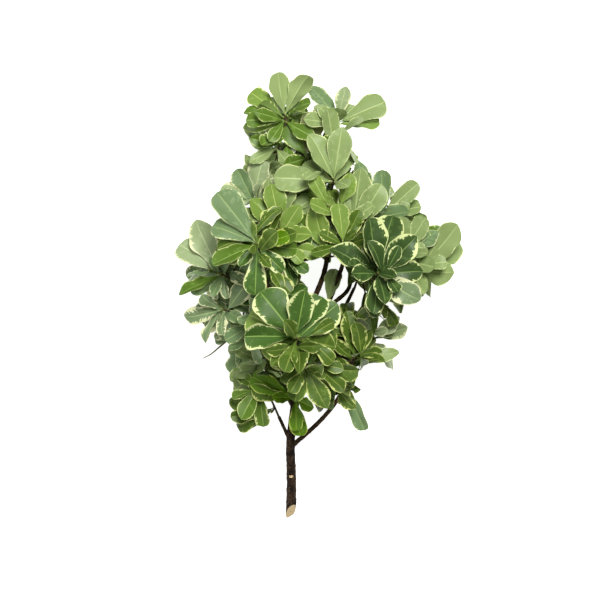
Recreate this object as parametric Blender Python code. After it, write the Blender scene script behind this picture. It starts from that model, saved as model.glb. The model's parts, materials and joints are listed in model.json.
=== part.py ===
"""Cut branch of a variegated evergreen shrub, lying on the floor.

Lengths in the tables are millimetres and the model is in metres. The branch lies along +Y with
its cut foot at -Y, the floor is z = 0, and the widest whorls of leaves face up. Every limb, twig
and leaf is worked out from the tables by the functions below them.
"""
import math
import random
from dataclasses import dataclass

import bmesh
import bpy
from mathutils import Vector
from mathutils.bvhtree import BVHTree

MM = 0.001
BRANCH_NAME = "variegated_shrub_branch"

# A joint's gap, the straight start of a limb beyond a tip, and the clearance round each piece.
JOINT_GAP = 0.3
COLLAR = 3.5
TEST_MARGIN = 0.8

# The slanting cut at the foot, and the shift that puts the box's middle over the origin.
FOOT_CUT_PLACE = (-41.0, -302.0, 6.8)
FOOT_CUT_NORMAL = (0.389, -0.629, 0.673)
FRAME_SHIFT = (1.0, 8.7, 0.0)

# Steps along a curve, round sides of a tube beyond its four, and limits for a joined mesh.
STEM_STEPS = 3
BOUGH_STEPS = 2
TWIG_STEPS = 3
STEM_BEVEL = 4
BOUGH_BEVEL = 1
FLAT_ANGLE = 0.002
WELD = 1e-7
UNION_TRIES = (("EXACT", True), ("MANIFOLD", True), ("EXACT", False), ("MANIFOLD", False))

# Twigs: radii, the first fork along a mass's stem, the step to the next, and the curve's pull.
TWIG_BASE_RADIUS = 1.8
TWIG_TIP_RADIUS = 1.25
FORK_RADIUS = 1.53
FORK_START = 0.12
FORK_STEP = 0.16
ARC_PULL = 0.38

# A blade's outline as shares of its length and half width, and its thickness.
STALK_HALF_WIDTH = 0.7
STALK_HALF_DEPTH = 0.6
BLADE_HALF_DEPTH = 0.45
WIDEST_AT = 0.6
SHOULDER_AT = 0.88
SHOULDER_WIDTH = 0.66
LEAF_FOLD = 0.16

# A whorl: the turn from leaf to leaf, and how they open, shorten and bend from old to young.
GOLDEN_TURN = 137.508
OUTER_SPREAD = 84.0
INNER_SPREAD = 36.0
INNER_LENGTH = 0.7
WHORL_DEPTH = 10.0
FAN_TILT = 2.0
RULE_TILT = 1.0
HANGING_RISE = -25.0
OLD_BEND = 0.16
FAN_BEND = 0.07
TURN_TRIES = (0, 14, -14, 28, -28, 42, -42)
SPREAD_TRIES = (0, -12, 12)
FAN_TURN_TRIES = (0, 6, -6, 12, -12)
FAN_LIFT_TRIES = (0, 8, -8, 16, -16)

# Leaves of one mass may touch below the first share of their length, and those of one whorl
# below the second. Blades whose middles are further apart than the third can't touch.
OWN_MASS_START = 0.18
OWN_WHORL_START = 0.42
NEAR_SHARE = 0.62

# Lifting a blade that dips under the floor: the most it turns, and the halvings to find how far.
FLOOR_LIFT = 70.0
FLOOR_HALVINGS = 16


@dataclass(frozen=True)
class Limb:
    """A stem or bough: control points after the start, which lies on the parent at a fraction."""

    name: str
    parent: str
    at: float
    points: tuple
    base_radius: float
    tip_radius: float


@dataclass(frozen=True)
class Shoot:
    """A twig's end: its place, the bearing and rise of its axis, its rule leaves and its fan.

    A fan leaf is a bearing, a length and a rise, in degrees and mm, then its breadth as a share
    of its length where it has its own. Facing is 1 where the fan shows its leaves' upper faces,
    and -1 where it shows the undersides of those that rise.
    """

    place: tuple
    bearing: float
    rise: float
    leaves: int
    leaf_length: float = 54.0
    breadth: float = 0.5
    fan: tuple = ()
    facing: int = 1


@dataclass(frozen=True)
class Mass:
    """Foliage that hangs on one limb: the first shoot ends its stem, the rest fork from it."""

    name: str
    limb: str
    at: float
    shoots: tuple


@dataclass
class Leaf:
    """One blade: root, direction, upper face, and its sizes."""

    root: Vector
    along: Vector
    face: Vector
    length: float
    width: float
    bend: float


MAIN_STEM = ((-41, -312, 6.2), (-40, -258, 12), (-41, -201, 24), (-34, -145, 38), (-28, -101, 50),
             (-21, -60, 61), (-11, -12, 72))

LIMBS = (
    Limb("main_stem", "", 0.0, MAIN_STEM, 6.3, 3.5),
    Limb("bough_top", "main_stem", 1.0,
         ((3, 24, 82), (10, 59, 90), (12, 93, 98), (13, 122, 106)), 3.4, 2.2),
    Limb("bough_top_left", "main_stem", 0.91,
         ((-30, 2, 70), (-34, 40, 76), (-38, 93, 82), (-38, 140, 86), (-40, 178, 88)), 3.0, 2.2),
    Limb("bough_upper_middle", "main_stem", 0.85,
         ((2, -27, 68), (16, 2, 80), (24, 24, 92), (30, 43, 104), (32, 56, 114)), 3.1, 2.2),
    Limb("bough_upper_right", "bough_upper_middle", 0.33,
         ((31, -1, 68), (40, 14, 68), (44, 43, 72), (54, 73, 78)), 2.6, 2.0),
    Limb("bough_upper_left", "main_stem", 0.81,
         ((-33, -48, 72), (-42, -8, 86), (-52, 21, 100), (-58, 48, 112)), 2.8, 2.0),
    Limb("bough_left_front", "main_stem", 0.705,
         ((-42, -72, 76), (-56, -30, 104), (-70, 12, 134)), 2.8, 2.1),
    Limb("bough_middle_left", "main_stem", 0.655,
         ((-40, -98, 64), (-48, -74, 76), (-56, -52, 86)), 2.6, 2.0),
    Limb("bough_left", "main_stem", 0.615,
         ((-55, -90, 54), (-80, -44, 66), (-100, -10, 80)), 2.8, 2.1),
    Limb("bough_left_low", "main_stem", 0.51,
         ((-50, -133, 42), (-60, -119, 47), (-69, -106, 52)), 2.6, 2.0),
    Limb("bough_foot_left", "main_stem", 0.355,
         ((-47, -191, 26), (-52, -180, 30), (-57, -169, 35)), 2.4, 1.9),
    Limb("bough_front", "main_stem", 0.75,
         ((-27, -82, 84), (-29, -84, 112), (-29, -80, 134)), 2.8, 2.1),
    Limb("bough_foot_right", "main_stem", 0.33,
         ((-9, -183, 28), (16, -155, 38), (34, -125, 50), (43, -101, 62)), 2.8, 2.4),
    Limb("bough_right_front", "bough_foot_right", 1.0,
         ((50, -70, 70), (57, -38, 82), (61, -12, 102), (66, 8, 128)), 2.4, 2.0),
    Limb("bough_right", "bough_right_front", 0.42,
         ((74, -24, 82), (92, 2, 88), (105, 20, 92)), 2.2, 1.8),
    Limb("bough_back_upper", "main_stem", 0.96,
         ((-23, 0, 58), (-33, 28, 47), (-34, 50, 43)), 2.6, 2.0),
    Limb("bough_back_left", "main_stem", 0.575,
         ((-46, -104, 30), (-64, -66, 28), (-84, -34, 36)), 2.6, 2.0),
    Limb("bough_back_right", "main_stem", 0.775,
         ((-2, -62, 48), (24, -34, 44), (46, 8, 42)), 2.6, 2.0),
)

MASSES = (
    Mass("leaves_front", "bough_front", 1.0, (
        Shoot((-33, -56, 188), 90, 80, 2, 52, 0.6, (
            (176, 67, 4), (127, 75, 6), (81, 65, 8), (40, 70, 4), (152, 76, -16))),
        Shoot((-19, -98, 158), 285, 72, 3, 50, 0.42, (
            (70, 54, 12), (53, 61, -8), (353, 69, 4), (293, 63, 6), (230, 26, 22), (158, 61, 0))),
    )),
    Mass("leaves_right_front", "bough_right_front", 1.0, (
        Shoot((73, 27, 182), 70, 76, 3, 54, 0.5, (
            (102, 74, 18), (79, 77, 4), (42, 69, 8), (4, 59, 6), (322, 65, 4), (187, 34, 10),
            (148, 71, -2))),
        Shoot((82, -12, 122), 290, 35, 5, 46),
    )),
    Mass("leaves_left_front", "bough_left_front", 1.0, (
        Shoot((-85, 66, 182), 140, 68, 3, 50, 0.44, (
            (126, 83, 10), (154, 63, -4), (203, 63, 2), (228, 38, 16), (267, 65, 2),
            (316, 47, 4), (20, 46, 26), (0, 54, -12))),
    )),
    Mass("leaves_upper_middle", "bough_upper_middle", 1.0, (
        Shoot((28, 66, 162), 88, 45, 3, 46, 0.44, ((94, 53, 16), (66, 50, 12))),
        Shoot((25, 115, 160), 80, 35, 3, 42, 0.5, ((71, 45, 12),)),
        Shoot((43, 90, 128), 72, 10, 4, 56, 0.44, ((85, 79, 16), (55, 71, 12))),
        Shoot((9, 50, 150), 104, 25, 3, 54, 0.46, ((111, 71, 14), (134, 74, -8))),
        Shoot((8, 88, 130), 100, 60, 4, 52),
    )),
    Mass("leaves_upper_left", "bough_upper_left", 1.0, (
        Shoot((-54, 85, 145), 100, 30, 3, 52, 0.46, ((100, 61, 14), (130, 58, -12), (45, 40, -6))),
        Shoot((-43, 50, 128), 20, 30, 3, 46, 0.5, ((8, 42, 4), (67, 36, 12), (282, 46, -12))),
        Shoot((-92, 124, 112), 130, 50, 4, 58, 0.5, ((75, 57, 14, 0.58), (144, 44, 0), (118, 54, 4))),
        Shoot((-51, 140, 96), 100, 45, 5, 59),
        Shoot((-64, 106, 138), 110, 62, 5, 56),
        Shoot((-24, 100, 126), 90, 55, 4, 56),
    )),
    Mass("leaves_top_right", "bough_top", 1.0, (
        Shoot((16, 150, 158), 85, 38, 3, 52, 0.44, (
            (116, 67, 12), (81, 71, 12), (175, 78, 6), (144, 51, -16))),
        Shoot((23, 232, 112), 75, 5, 3, 42, 0.5, (
            (126, 62, -6, 0.44), (81, 49, 22, 0.4), (26, 69, 8), (9, 57, -5), (232, 36, -14))),
        Shoot((-1, 148, 50), 90, -40, 5, 60),
    )),
    Mass("leaves_top_left", "bough_top_left", 1.0, (
        Shoot((-49, 239, 118), 95, -12, 3, 46, 0.46, (
            (101, 57, 12), (65, 64, 14), (143, 60, -8, 0.5), (184, 59, -12)), -1),
        Shoot((-66, 190, 92), 150, 40, 4, 50, 0.5, ((137, 40, 0),)),
        Shoot((-18, 180, 122), 100, 55, 4, 58, 0.5, ((124, 52, 4), (80, 63, -2))),
        Shoot((-42, 213, 38), 100, -35, 5, 57),
        Shoot((-72, 164, 104), 140, 50, 4, 54),
        Shoot((-34, 202, 114), 95, 50, 4, 54),
    )),
    Mass("leaves_middle_left", "bough_middle_left", 1.0, (
        Shoot((-66, -8, 112), 120, 45, 4, 54, 0.5, ((43, 52, 4), (80, 56, -4), (31, 52, -18))),
        Shoot((-95, -42, 100), 190, 50, 6, 54),
        Shoot((-76, -66, 98), 205, 60, 5, 54),
    )),
    Mass("leaves_left", "bough_left", 1.0, (
        Shoot((-135, 27, 112), 165, 28, 3, 46, 0.42, (
            (114, 78, 8, 0.48), (140, 69, 0, 0.5), (203, 64, 4, 0.3), (276, 32, 14), (90, 50, 22))),
        Shoot((-152, 43, 75), 160, 25, 4, 48),
        Shoot((-116, 74, 88), 130, 45, 5, 57),
    )),
    Mass("leaves_left_low", "bough_left_low", 1.0, (
        Shoot((-110, -48, 60), 200, 20, 5, 57),
        Shoot((-84, -88, 72), 185, 50, 6, 60, 0.44),
        Shoot((-133, -21, 96), 190, 50, 4, 55, 0.46, ((195, 53, -4), (268, 42, -6))),
        Shoot((-90, -82, 32), 215, -45, 4, 52),
    )),
    Mass("leaves_lower_front", "main_stem", 0.54, (
        Shoot((-37, -141, 78), 200, 60, 3, 46, 0.44, (
            (152, 65, 6), (134, 56, -2), (170, 60, -10), (277, 54, -8))),
        Shoot((-58, -104, 66), 150, 55, 6, 54),
        Shoot((-8, -118, 78), 350, 60, 4, 50),
    )),
    Mass("leaves_foot_left", "bough_foot_left", 1.0, (
        Shoot((-88, -128, 72), 185, 45, 6, 54),
        Shoot((-66, -160, 54), 185, 12, 1, 44, 0.36, (
            (168, 61, 2), (192, 59, 6), (205, 59, -8), (219, 60, -30, 0.2))),
        Shoot((-97, -112, 58), 195, 10, 4, 52),
        Shoot((-76, -140, 58), 180, 50, 4, 50),
    )),
    Mass("leaves_foot_right", "bough_foot_right", 0.93, (
        Shoot((44, -85, 112), 70, 40, 3, 48, 0.46, ((95, 58, 12), (63, 45, 6), (11, 63, 2, 0.3))),
        Shoot((75, -59, 76), 20, 12, 4, 42, 0.56, ((18, 45, 12), (98, 39, 14))),
        Shoot((30, -119, 80), 290, 25, 4, 50, 0.5, ((285, 37, 10), (289, 77, -4, 0.28))),
        Shoot((12, -84, 32), 210, -45, 5, 52),
        Shoot((12, -75, 102), 100, 50, 4, 54),
        Shoot((38, -42, 92), 80, 60, 4, 48),
    )),
    Mass("leaves_right", "bough_right", 1.0, (
        Shoot((132, 33, 104), 28, -12, 3, 54, 0.48, (
            (45, 79, 10), (354, 50, 8, 0.64), (30, 75, -10)), -1),
        Shoot((110, 56, 122), 68, 18, 4, 48, 0.46, ((58, 54, 12), (97, 52, 14), (41, 58, -6))),
        Shoot((127, 73, 62), 45, -30, 5, 59),
    )),
    Mass("leaves_upper_right", "bough_upper_right", 1.0, (
        Shoot((84, 107, 100), 68, 8, 4, 48, 0.4, ((42, 62, 6), (91, 62, 12), (24, 44, 14))),
        Shoot((60, 126, 98), 85, 50, 4, 54, 0.5, ((97, 54, 5, 0.38), (114, 50, -7, 0.38))),
        Shoot((99, 121, 65), 60, -10, 5, 50),
        Shoot((72, 72, 114), 60, 50, 5, 52),
    )),
    Mass("leaves_back_upper", "bough_back_upper", 1.0, (
        Shoot((-22, 98, 34), 90, -60, 4, 59),
        Shoot((-50, 122, 34), 120, -45, 5, 59),
        Shoot((26, 101, 30), 50, -55, 5, 59),
        Shoot((-64, 60, 36), 160, -50, 4, 57),
    )),
    Mass("leaves_back_left", "bough_back_left", 1.0, (
        Shoot((-105, 2, 33), 175, -50, 5, 59),
        Shoot((-84, 34, 36), 130, -55, 5, 57),
        Shoot((-138, -4, 38), 185, -30, 5, 54),
    )),
    Mass("leaves_back_right", "bough_back_right", 1.0, (
        Shoot((61, 70, 32), 60, -55, 5, 59),
        Shoot((98, 24, 34), 10, -45, 5, 59),
        Shoot((66, -10, 34), 320, -45, 4, 54),
    )),
)

# Windows through the crown, seen from above: middle x, middle y, half width, half height.
SKY_WINDOWS = (
    (-2.3, 41.0, 4.8, 12.0), (-8.8, 20.0, 8.6, 8.6), (18.8, 42.9, 6.0, 7.4), (28.1, 14.7, 6.0, 14.7),
    (49.6, -4.0, 8.0, 16.0), (94.5, -18.0, 6.0, 8.0), (73.7, -57.6, 3.4, 4.7),
    (-50.9, -163.5, 6.7, 16.0), (-22.8, -130.0, 4.7, 9.4), (-10.0, -166.0, 8.0, 12.0),
    (-74.0, 218.0, 6.0, 6.0), (3.0, 223.0, 4.0, 4.0), (74.0, -108.0, 18.0, 14.0),
    (-61.0, -180.0, 7.0, 13.0),
)

COLOURS = {
    "bark": ((0.034, 0.022, 0.014), 0.82),
    "leaf": ((0.105, 0.205, 0.062), 0.42),
}


def unit(bearing, rise):
    """Direction from a bearing in the floor's plane and a rise above it, in degrees."""
    flat = math.cos(math.radians(rise))
    return Vector((math.cos(math.radians(bearing)) * flat, math.sin(math.radians(bearing)) * flat,
                   math.sin(math.radians(rise))))


def smooth_path(points, steps=BOUGH_STEPS):
    """Points of a smooth curve through the control points."""
    points = [Vector(point) for point in points]
    ends = [points[0] * 2 - points[1]] + points + [points[-1] * 2 - points[-2]]
    path = []
    for before, start, end, after in zip(ends, ends[1:], ends[2:], ends[3:]):
        for step in range(steps):
            t = step / steps
            path.append(0.5 * (2 * start + (end - before) * t
                               + (2 * before - 5 * start + 4 * end - after) * t * t
                               + (3 * start - before - 3 * end + after) * t ** 3))
    return path + [points[-1]]


def arc_path(start, start_way, end, end_way, steps=TWIG_STEPS):
    """Points of a curve that leaves the start and reaches the end in the given directions."""
    pull = (end - start).length * ARC_PULL
    lead, tail = start + start_way * pull, end - end_way * pull
    path = []
    for step in range(steps + 1):
        t = step / steps
        path.append(start * (1 - t) ** 3 + lead * 3 * t * (1 - t) ** 2
                    + tail * 3 * t * t * (1 - t) + end * t ** 3)
    return path


def point_on(path, fraction):
    """Point and direction at a fraction of a path's length."""
    lengths = [(b - a).length for a, b in zip(path, path[1:])]
    left = fraction * sum(lengths)
    for a, b, length in zip(path, path[1:], lengths):
        if left <= length:
            return a.lerp(b, left / length), (b - a).normalized()
        left -= length
    return path[-1].copy(), (path[-1] - path[-2]).normalized()


def taper(path, base_radius, tip_radius):
    """One radius for each point of the path."""
    last = len(path) - 1
    return [base_radius + (tip_radius - base_radius) * i / last for i in range(last + 1)]


def limb_path(limb, paths):
    """Path of a limb, from its parent's axis, or from just beyond its parent's tip."""
    if not limb.parent:
        return smooth_path(limb.points, STEM_STEPS)
    start, way = point_on(paths[limb.parent], limb.at)
    if limb.at < 1:
        return smooth_path((start,) + limb.points)
    return [start + way * JOINT_GAP] + smooth_path((start + way * COLLAR,) + limb.points)


def tube_tree(path, radii, sides=8):
    """Search tree of a tube's surface with the test margin round it."""
    corners, faces = [], []
    for i, (point, radius) in enumerate(zip(path, radii)):
        way = (path[min(i + 1, len(path) - 1)] - path[max(i - 1, 0)]).normalized()
        across = way.orthogonal().normalized()
        other = way.cross(across)
        for side in range(sides):
            turn = 2 * math.pi * side / sides
            offset = across * math.cos(turn) + other * math.sin(turn)
            corners.append(point + offset * (radius + TEST_MARGIN))
        if i:
            low = (i - 1) * sides
            for side in range(sides):
                beside = (side + 1) % sides
                faces.append((low + side, low + beside, low + sides + beside, low + sides + side))
    return BVHTree.FromPolygons(corners, faces)


def leaf_corners(leaf, start=0.0, grow=0.0):
    """The 10 corners of a blade: three round its stalk, four at its widest, shoulders, tip."""
    side = leaf.along.cross(leaf.face).normalized()
    half = leaf.width / 2

    def corner(at, across, above):
        lift = above + LEAF_FOLD * abs(across) - leaf.bend * leaf.length * at * at
        return leaf.root + leaf.along * (leaf.length * at) + side * across + leaf.face * lift

    stalk = STALK_HALF_WIDTH + (half - STALK_HALF_WIDTH) * start / WIDEST_AT + grow
    wide, shoulder = half + grow, half * SHOULDER_WIDTH + grow
    stalk_depth, blade_depth = STALK_HALF_DEPTH + grow, BLADE_HALF_DEPTH + grow
    tip = 1 + grow / leaf.length
    return [corner(start, stalk, 0), corner(start, -stalk, 0), corner(start, 0, -stalk_depth),
            corner(WIDEST_AT, wide, 0), corner(WIDEST_AT, 0, blade_depth),
            corner(WIDEST_AT, -wide, 0), corner(WIDEST_AT, 0, -blade_depth),
            corner(SHOULDER_AT, shoulder, 0), corner(SHOULDER_AT, -shoulder, 0),
            corner(tip, 0, 0)]


def leaf_faces():
    """Triangles between a blade's corners."""
    left, right, under, wide_left, top, wide_right, bottom = range(7)
    faces = [(left, right, under), (left, right, top), (left, top, wide_left),
             (right, wide_right, top), (left, wide_left, bottom), (left, bottom, under),
             (right, under, bottom), (right, bottom, wide_right)]
    rim = (wide_left, 7, 9, 8, wide_right)
    for start, end in zip(rim, rim[1:]):
        faces += [(start, top, end), (end, bottom, start)]
    return faces


LEAF_FACES = leaf_faces()


class Crown:
    """Grows every twig and leaf, and keeps them clear of the limbs and of one another."""

    def __init__(self):
        self.limb_paths, self.limb_radii = {}, {}
        self.tubes = []
        self.blades = []
        for limb in LIMBS:
            path = limb_path(limb, self.limb_paths)
            self.limb_paths[limb.name] = path
            self.limb_radii[limb.name] = taper(path, limb.base_radius, limb.tip_radius)
            self.tubes.append(("", tube_tree(path, self.limb_radii[limb.name])))
        self.twigs = {mass.name: self.mass_twigs(mass) for mass in MASSES}
        for name, twigs in self.twigs.items():
            self.tubes += [(name, tube_tree(path, radii)) for path, radii in twigs]
        self.leaves = {mass.name: [] for mass in MASSES}
        for number, mass in enumerate(MASSES):
            for place, shoot in enumerate(mass.shoots):
                path = self.twigs[mass.name][place][0]
                self.grow_fan(mass.name, (number, place), shoot, path)
        for number, mass in enumerate(MASSES):
            for place, shoot in enumerate(mass.shoots):
                path = self.twigs[mass.name][place][0]
                self.grow_whorl(mass.name, (number, place), shoot, path)

    def mass_twigs(self, mass):
        """Paths and radii of a mass's stem and of the twigs that fork from it."""
        start, way = point_on(self.limb_paths[mass.limb], mass.at)
        radius = self.limb_radii[mass.limb][-1] if mass.at == 1 else TWIG_BASE_RADIUS
        twigs = []
        for number, shoot in enumerate(mass.shoots):
            end, end_way = Vector(shoot.place), unit(shoot.bearing, shoot.rise)
            if number:
                fork, fork_way = point_on(twigs[0][0], FORK_START + FORK_STEP * number)
                path = arc_path(fork, fork_way, end, end_way)
                twigs.append((path, taper(path, FORK_RADIUS, TWIG_TIP_RADIUS)))
            elif mass.at < 1:
                path = arc_path(start, (end - start).normalized(), end, end_way)
                twigs.append((path, taper(path, radius, TWIG_TIP_RADIUS)))
            else:
                path = [start + way * JOINT_GAP]
                path += arc_path(start + way * COLLAR, way, end, end_way)
                twigs.append((path, taper(path, radius, TWIG_TIP_RADIUS)))
        return twigs

    def fits(self, leaf, mass_name, whorl):
        """True when the blade is above the floor and clear of all that it could touch."""
        whole = BVHTree.FromPolygons(leaf_corners(leaf, 0.0, TEST_MARGIN), LEAF_FACES)
        most = BVHTree.FromPolygons(leaf_corners(leaf, OWN_MASS_START, TEST_MARGIN),
                                    LEAF_FACES)
        outer = BVHTree.FromPolygons(leaf_corners(leaf, OWN_WHORL_START, TEST_MARGIN),
                                     LEAF_FACES)
        for owner, tree in self.tubes:
            if (most if owner == mass_name else whole).overlap(tree):
                return False
        middle = leaf.root + leaf.along * (leaf.length / 2)
        for other in self.blades:
            near = (leaf.length + other["length"]) * NEAR_SHARE
            if (middle - other["middle"]).length > near:
                continue
            if other["mass"] != mass_name:
                hit = whole.overlap(other["whole"])
            elif other["whorl"] != whorl:
                hit = most.overlap(other["most"])
            else:
                hit = outer.overlap(other["outer"])
            if hit:
                return False
        self.blades.append({"mass": mass_name, "whorl": whorl, "whole": whole, "most": most,
                            "outer": outer, "middle": middle, "length": leaf.length})
        return True

    def grow_fan(self, mass_name, whorl, shoot, path):
        """Leaves of a shoot whose directions are known."""
        for number, (bearing, length, rise, *own) in enumerate(shoot.fan):
            breadth = own[0] if own else shoot.breadth
            setback = WHORL_DEPTH * number / len(shoot.fan)
            tilt = FAN_TILT * (shoot.facing if rise > 0 else 1)
            tries = [(turn, lift) for turn in FAN_TURN_TRIES for lift in FAN_LIFT_TRIES]
            for turn, lift in tries:
                leaf = make_leaf(path, setback, unit(bearing + turn, rise + lift), length,
                                 length * breadth, FAN_BEND, tilt)
                if self.accept(leaf, mass_name, whorl):
                    break

    def grow_whorl(self, mass_name, whorl, shoot, path):
        """Leaves of a shoot by the golden turn, from the outer old ones to the young ones."""
        draw = random.Random(whorl[0] * 31 + whorl[1])
        axis = unit(shoot.bearing, shoot.rise)
        across = axis.orthogonal().normalized()
        other = axis.cross(across)
        first_turn = draw.uniform(0, 360)
        for number in range(shoot.leaves):
            age = number / max(shoot.leaves - 1, 1)
            spread = OUTER_SPREAD + (INNER_SPREAD - OUTER_SPREAD) * age + draw.uniform(-7, 7)
            length = shoot.leaf_length * (1 + (INNER_LENGTH - 1) * age) * draw.uniform(0.9, 1.1)
            width = length * (shoot.breadth + draw.uniform(-0.04, 0.04))
            bend = OLD_BEND * (1 - age) + draw.uniform(-0.02, 0.05)
            turn = first_turn + number * GOLDEN_TURN
            tilt = RULE_TILT * shoot.facing if shoot.rise > HANGING_RISE else 0.0
            self.place_rule_leaf(mass_name, whorl, path, (axis, across, other),
                                 (turn, spread, WHORL_DEPTH * (1 - age)),
                                 (length, width, bend, tilt))

    def place_rule_leaf(self, mass_name, whorl, path, frame, pose, sizes):
        """Try the blade at its own turn and spread, then a little to either side."""
        axis, across, other = frame
        turn, spread, setback = pose
        for open_by in SPREAD_TRIES:
            for turn_by in TURN_TRIES:
                angle = math.radians(turn + turn_by)
                lean = math.radians(spread + open_by)
                outward = across * math.cos(angle) + other * math.sin(angle)
                way = axis * math.cos(lean) + outward * math.sin(lean)
                if self.accept(make_leaf(path, setback, way, *sizes), mass_name, whorl):
                    return

    def accept(self, leaf, mass_name, whorl):
        """Keep the blade if it can lie above the floor, off the windows and clear of the rest."""
        if not lay_on_floor(leaf) or in_window(leaf) or not self.fits(leaf, mass_name, whorl):
            return False
        self.leaves[mass_name].append(leaf)
        return True


def make_leaf(path, setback, way, length, width, bend, tilt):
    """A blade on the twig's axis, a setback below its end.

    Its upper face turns to the axis, and by the tilt towards the side that faces up.
    """
    axis = (path[-1] - path[-2]).normalized()
    sun = axis + Vector((0, 0, tilt))
    face = sun - way * sun.dot(way)
    if face.length < 0.05:
        face = way.orthogonal()
    return Leaf(path[-1] - axis * setback, way.normalized(), face.normalized(), length, width,
                bend)


def lay_on_floor(leaf):
    """Lift a blade that dips under the floor until it just touches it."""
    low = min(corner.z for corner in leaf_corners(leaf))
    if low >= 0:
        return True
    rise = math.asin(max(-1.0, min(1.0, leaf.along.z)))
    bearing = math.atan2(leaf.along.y, leaf.along.x)
    least, most = 0.0, math.radians(FLOOR_LIFT)
    face = leaf.face.copy()
    for _ in range(FLOOR_HALVINGS):
        lift = (least + most) / 2
        leaf.along = unit(math.degrees(bearing), math.degrees(rise + lift))
        leaf.face = (face - leaf.along * face.dot(leaf.along)).normalized()
        if min(corner.z for corner in leaf_corners(leaf)) >= 0:
            most = lift
        else:
            least = lift
    leaf.along = unit(math.degrees(bearing), math.degrees(rise + most))
    leaf.face = (face - leaf.along * face.dot(leaf.along)).normalized()
    return min(corner.z for corner in leaf_corners(leaf)) >= 0


def in_window(leaf):
    """True when the blade would close one of the windows through the crown."""
    corners = leaf_corners(leaf)
    tests = corners[3:] + [leaf.root + leaf.along * (leaf.length * at)
                           for at in (0.2, 0.4, 0.55, 0.8)]
    for x, y, half_width, half_height in SKY_WINDOWS:
        for point in tests:
            if ((point.x - x) / half_width) ** 2 + ((point.y - y) / half_height) ** 2 < 1:
                return True
    return False


def metres(point):
    """Place in the model's frame, in metres."""
    return (Vector(point) + Vector(FRAME_SHIFT)) * MM


def new_collection(name, hidden=False):
    """A collection in the scene; a hidden one keeps its objects out of renders."""
    collection = bpy.data.collections.new(name)
    bpy.context.scene.collection.children.link(collection)
    collection.hide_render = hidden
    return collection


def new_material(name):
    """Plain finish for one kind of piece."""
    colour, roughness = COLOURS[name]
    material = bpy.data.materials.new(name)
    material.use_nodes = True
    shader = material.node_tree.nodes["Principled BSDF"]
    shader.inputs["Base Color"].default_value = (*colour, 1.0)
    shader.inputs["Roughness"].default_value = roughness
    shader.inputs["Metallic"].default_value = 0.0
    material.diffuse_color = (*colour, 1.0)
    return material


def mesh_object(name, mesh, collection):
    """Object of a mesh, linked to a collection."""
    item = bpy.data.objects.new(name, mesh)
    collection.objects.link(item)
    return item


def tube_object(name, path, radii, collection, bevel_resolution, extra=0.0):
    """Closed tube along a path: a bevelled curve with filled caps, made a mesh."""
    curve = bpy.data.curves.new(name, "CURVE")
    curve.dimensions = "3D"
    curve.bevel_depth = MM
    curve.bevel_resolution = bevel_resolution
    curve.use_fill_caps = True
    spline = curve.splines.new("POLY")
    spline.points.add(len(path) - 1)
    for point, place, radius in zip(spline.points, path, radii):
        point.co = (*metres(place), 1.0)
        point.radius = radius + extra
    holder = mesh_object(name + "_curve", curve, collection)
    bpy.context.view_layer.update()
    depsgraph = bpy.context.evaluated_depsgraph_get()
    mesh = bpy.data.meshes.new_from_object(holder.evaluated_get(depsgraph))
    mesh.name = name
    bpy.data.objects.remove(holder)
    tidy_mesh(mesh)
    return mesh_object(name, mesh, collection)


def tidy_mesh(mesh):
    """Weld doubled corners and turn every face outward."""
    work = bmesh.new()
    work.from_mesh(mesh)
    bmesh.ops.remove_doubles(work, verts=work.verts, dist=WELD)
    bmesh.ops.recalc_face_normals(work, faces=work.faces)
    work.to_mesh(mesh)
    work.free()


def cut_foot(stem):
    """Slice the stem's foot off on the slant, and close it."""
    work = bmesh.new()
    work.from_mesh(stem.data)
    cut = bmesh.ops.bisect_plane(
        work, geom=work.verts[:] + work.edges[:] + work.faces[:], dist=1e-8,
        plane_co=metres(FOOT_CUT_PLACE), plane_no=Vector(FOOT_CUT_NORMAL), clear_outer=True)
    rim = [item for item in cut["geom_cut"] if isinstance(item, bmesh.types.BMEdge)]
    bmesh.ops.contextual_create(work, geom=rim)
    bmesh.ops.recalc_face_normals(work, faces=work.faces)
    work.to_mesh(stem.data)
    work.free()


def add_boolean(item, name, operation, solver="EXACT", **settings):
    """Boolean modifier."""
    modifier = item.modifiers.new(name, "BOOLEAN")
    modifier.operation = operation
    modifier.solver = solver
    for key, value in settings.items():
        setattr(modifier, key, value)
    return modifier


def join_mass(stem, pieces):
    """Fuse a mass's twigs and blades onto its stem with one union, and drop loose scraps."""
    for solver, flatten in UNION_TRIES:
        add_boolean(stem, "fuse", "UNION", solver, operand_type="COLLECTION", collection=pieces)
        bpy.context.view_layer.update()
        depsgraph = bpy.context.evaluated_depsgraph_get()
        mesh = bpy.data.meshes.new_from_object(stem.evaluated_get(depsgraph))
        stem.modifiers.clear()
        if keep_largest(mesh, flatten):
            break
    for piece in list(pieces.objects):
        bpy.data.objects.remove(piece)
    bpy.data.collections.remove(pieces)
    stem.data = mesh
    mesh.name = stem.name


def keep_largest(mesh, flatten):
    """Keep the connected body with the most faces, and tell whether it is closed."""
    work = bmesh.new()
    work.from_mesh(mesh)
    left, bodies = set(work.faces), []
    while left:
        stack, body = [left.pop()], []
        while stack:
            face = stack.pop()
            body.append(face)
            for edge in face.edges:
                beside = [other for other in edge.link_faces if other in left]
                left.difference_update(beside)
                stack += beside
        bodies.append(body)
    bodies.sort(key=len)
    for body in bodies[:-1]:
        bmesh.ops.delete(work, geom=body, context="FACES")
    if flatten:
        bmesh.ops.dissolve_limit(work, angle_limit=FLAT_ANGLE, verts=work.verts,
                                 edges=work.edges)
    bmesh.ops.triangulate(work, faces=work.faces)
    closed = all(edge.is_contiguous for edge in work.edges)
    work.to_mesh(mesh)
    work.free()
    return closed


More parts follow.
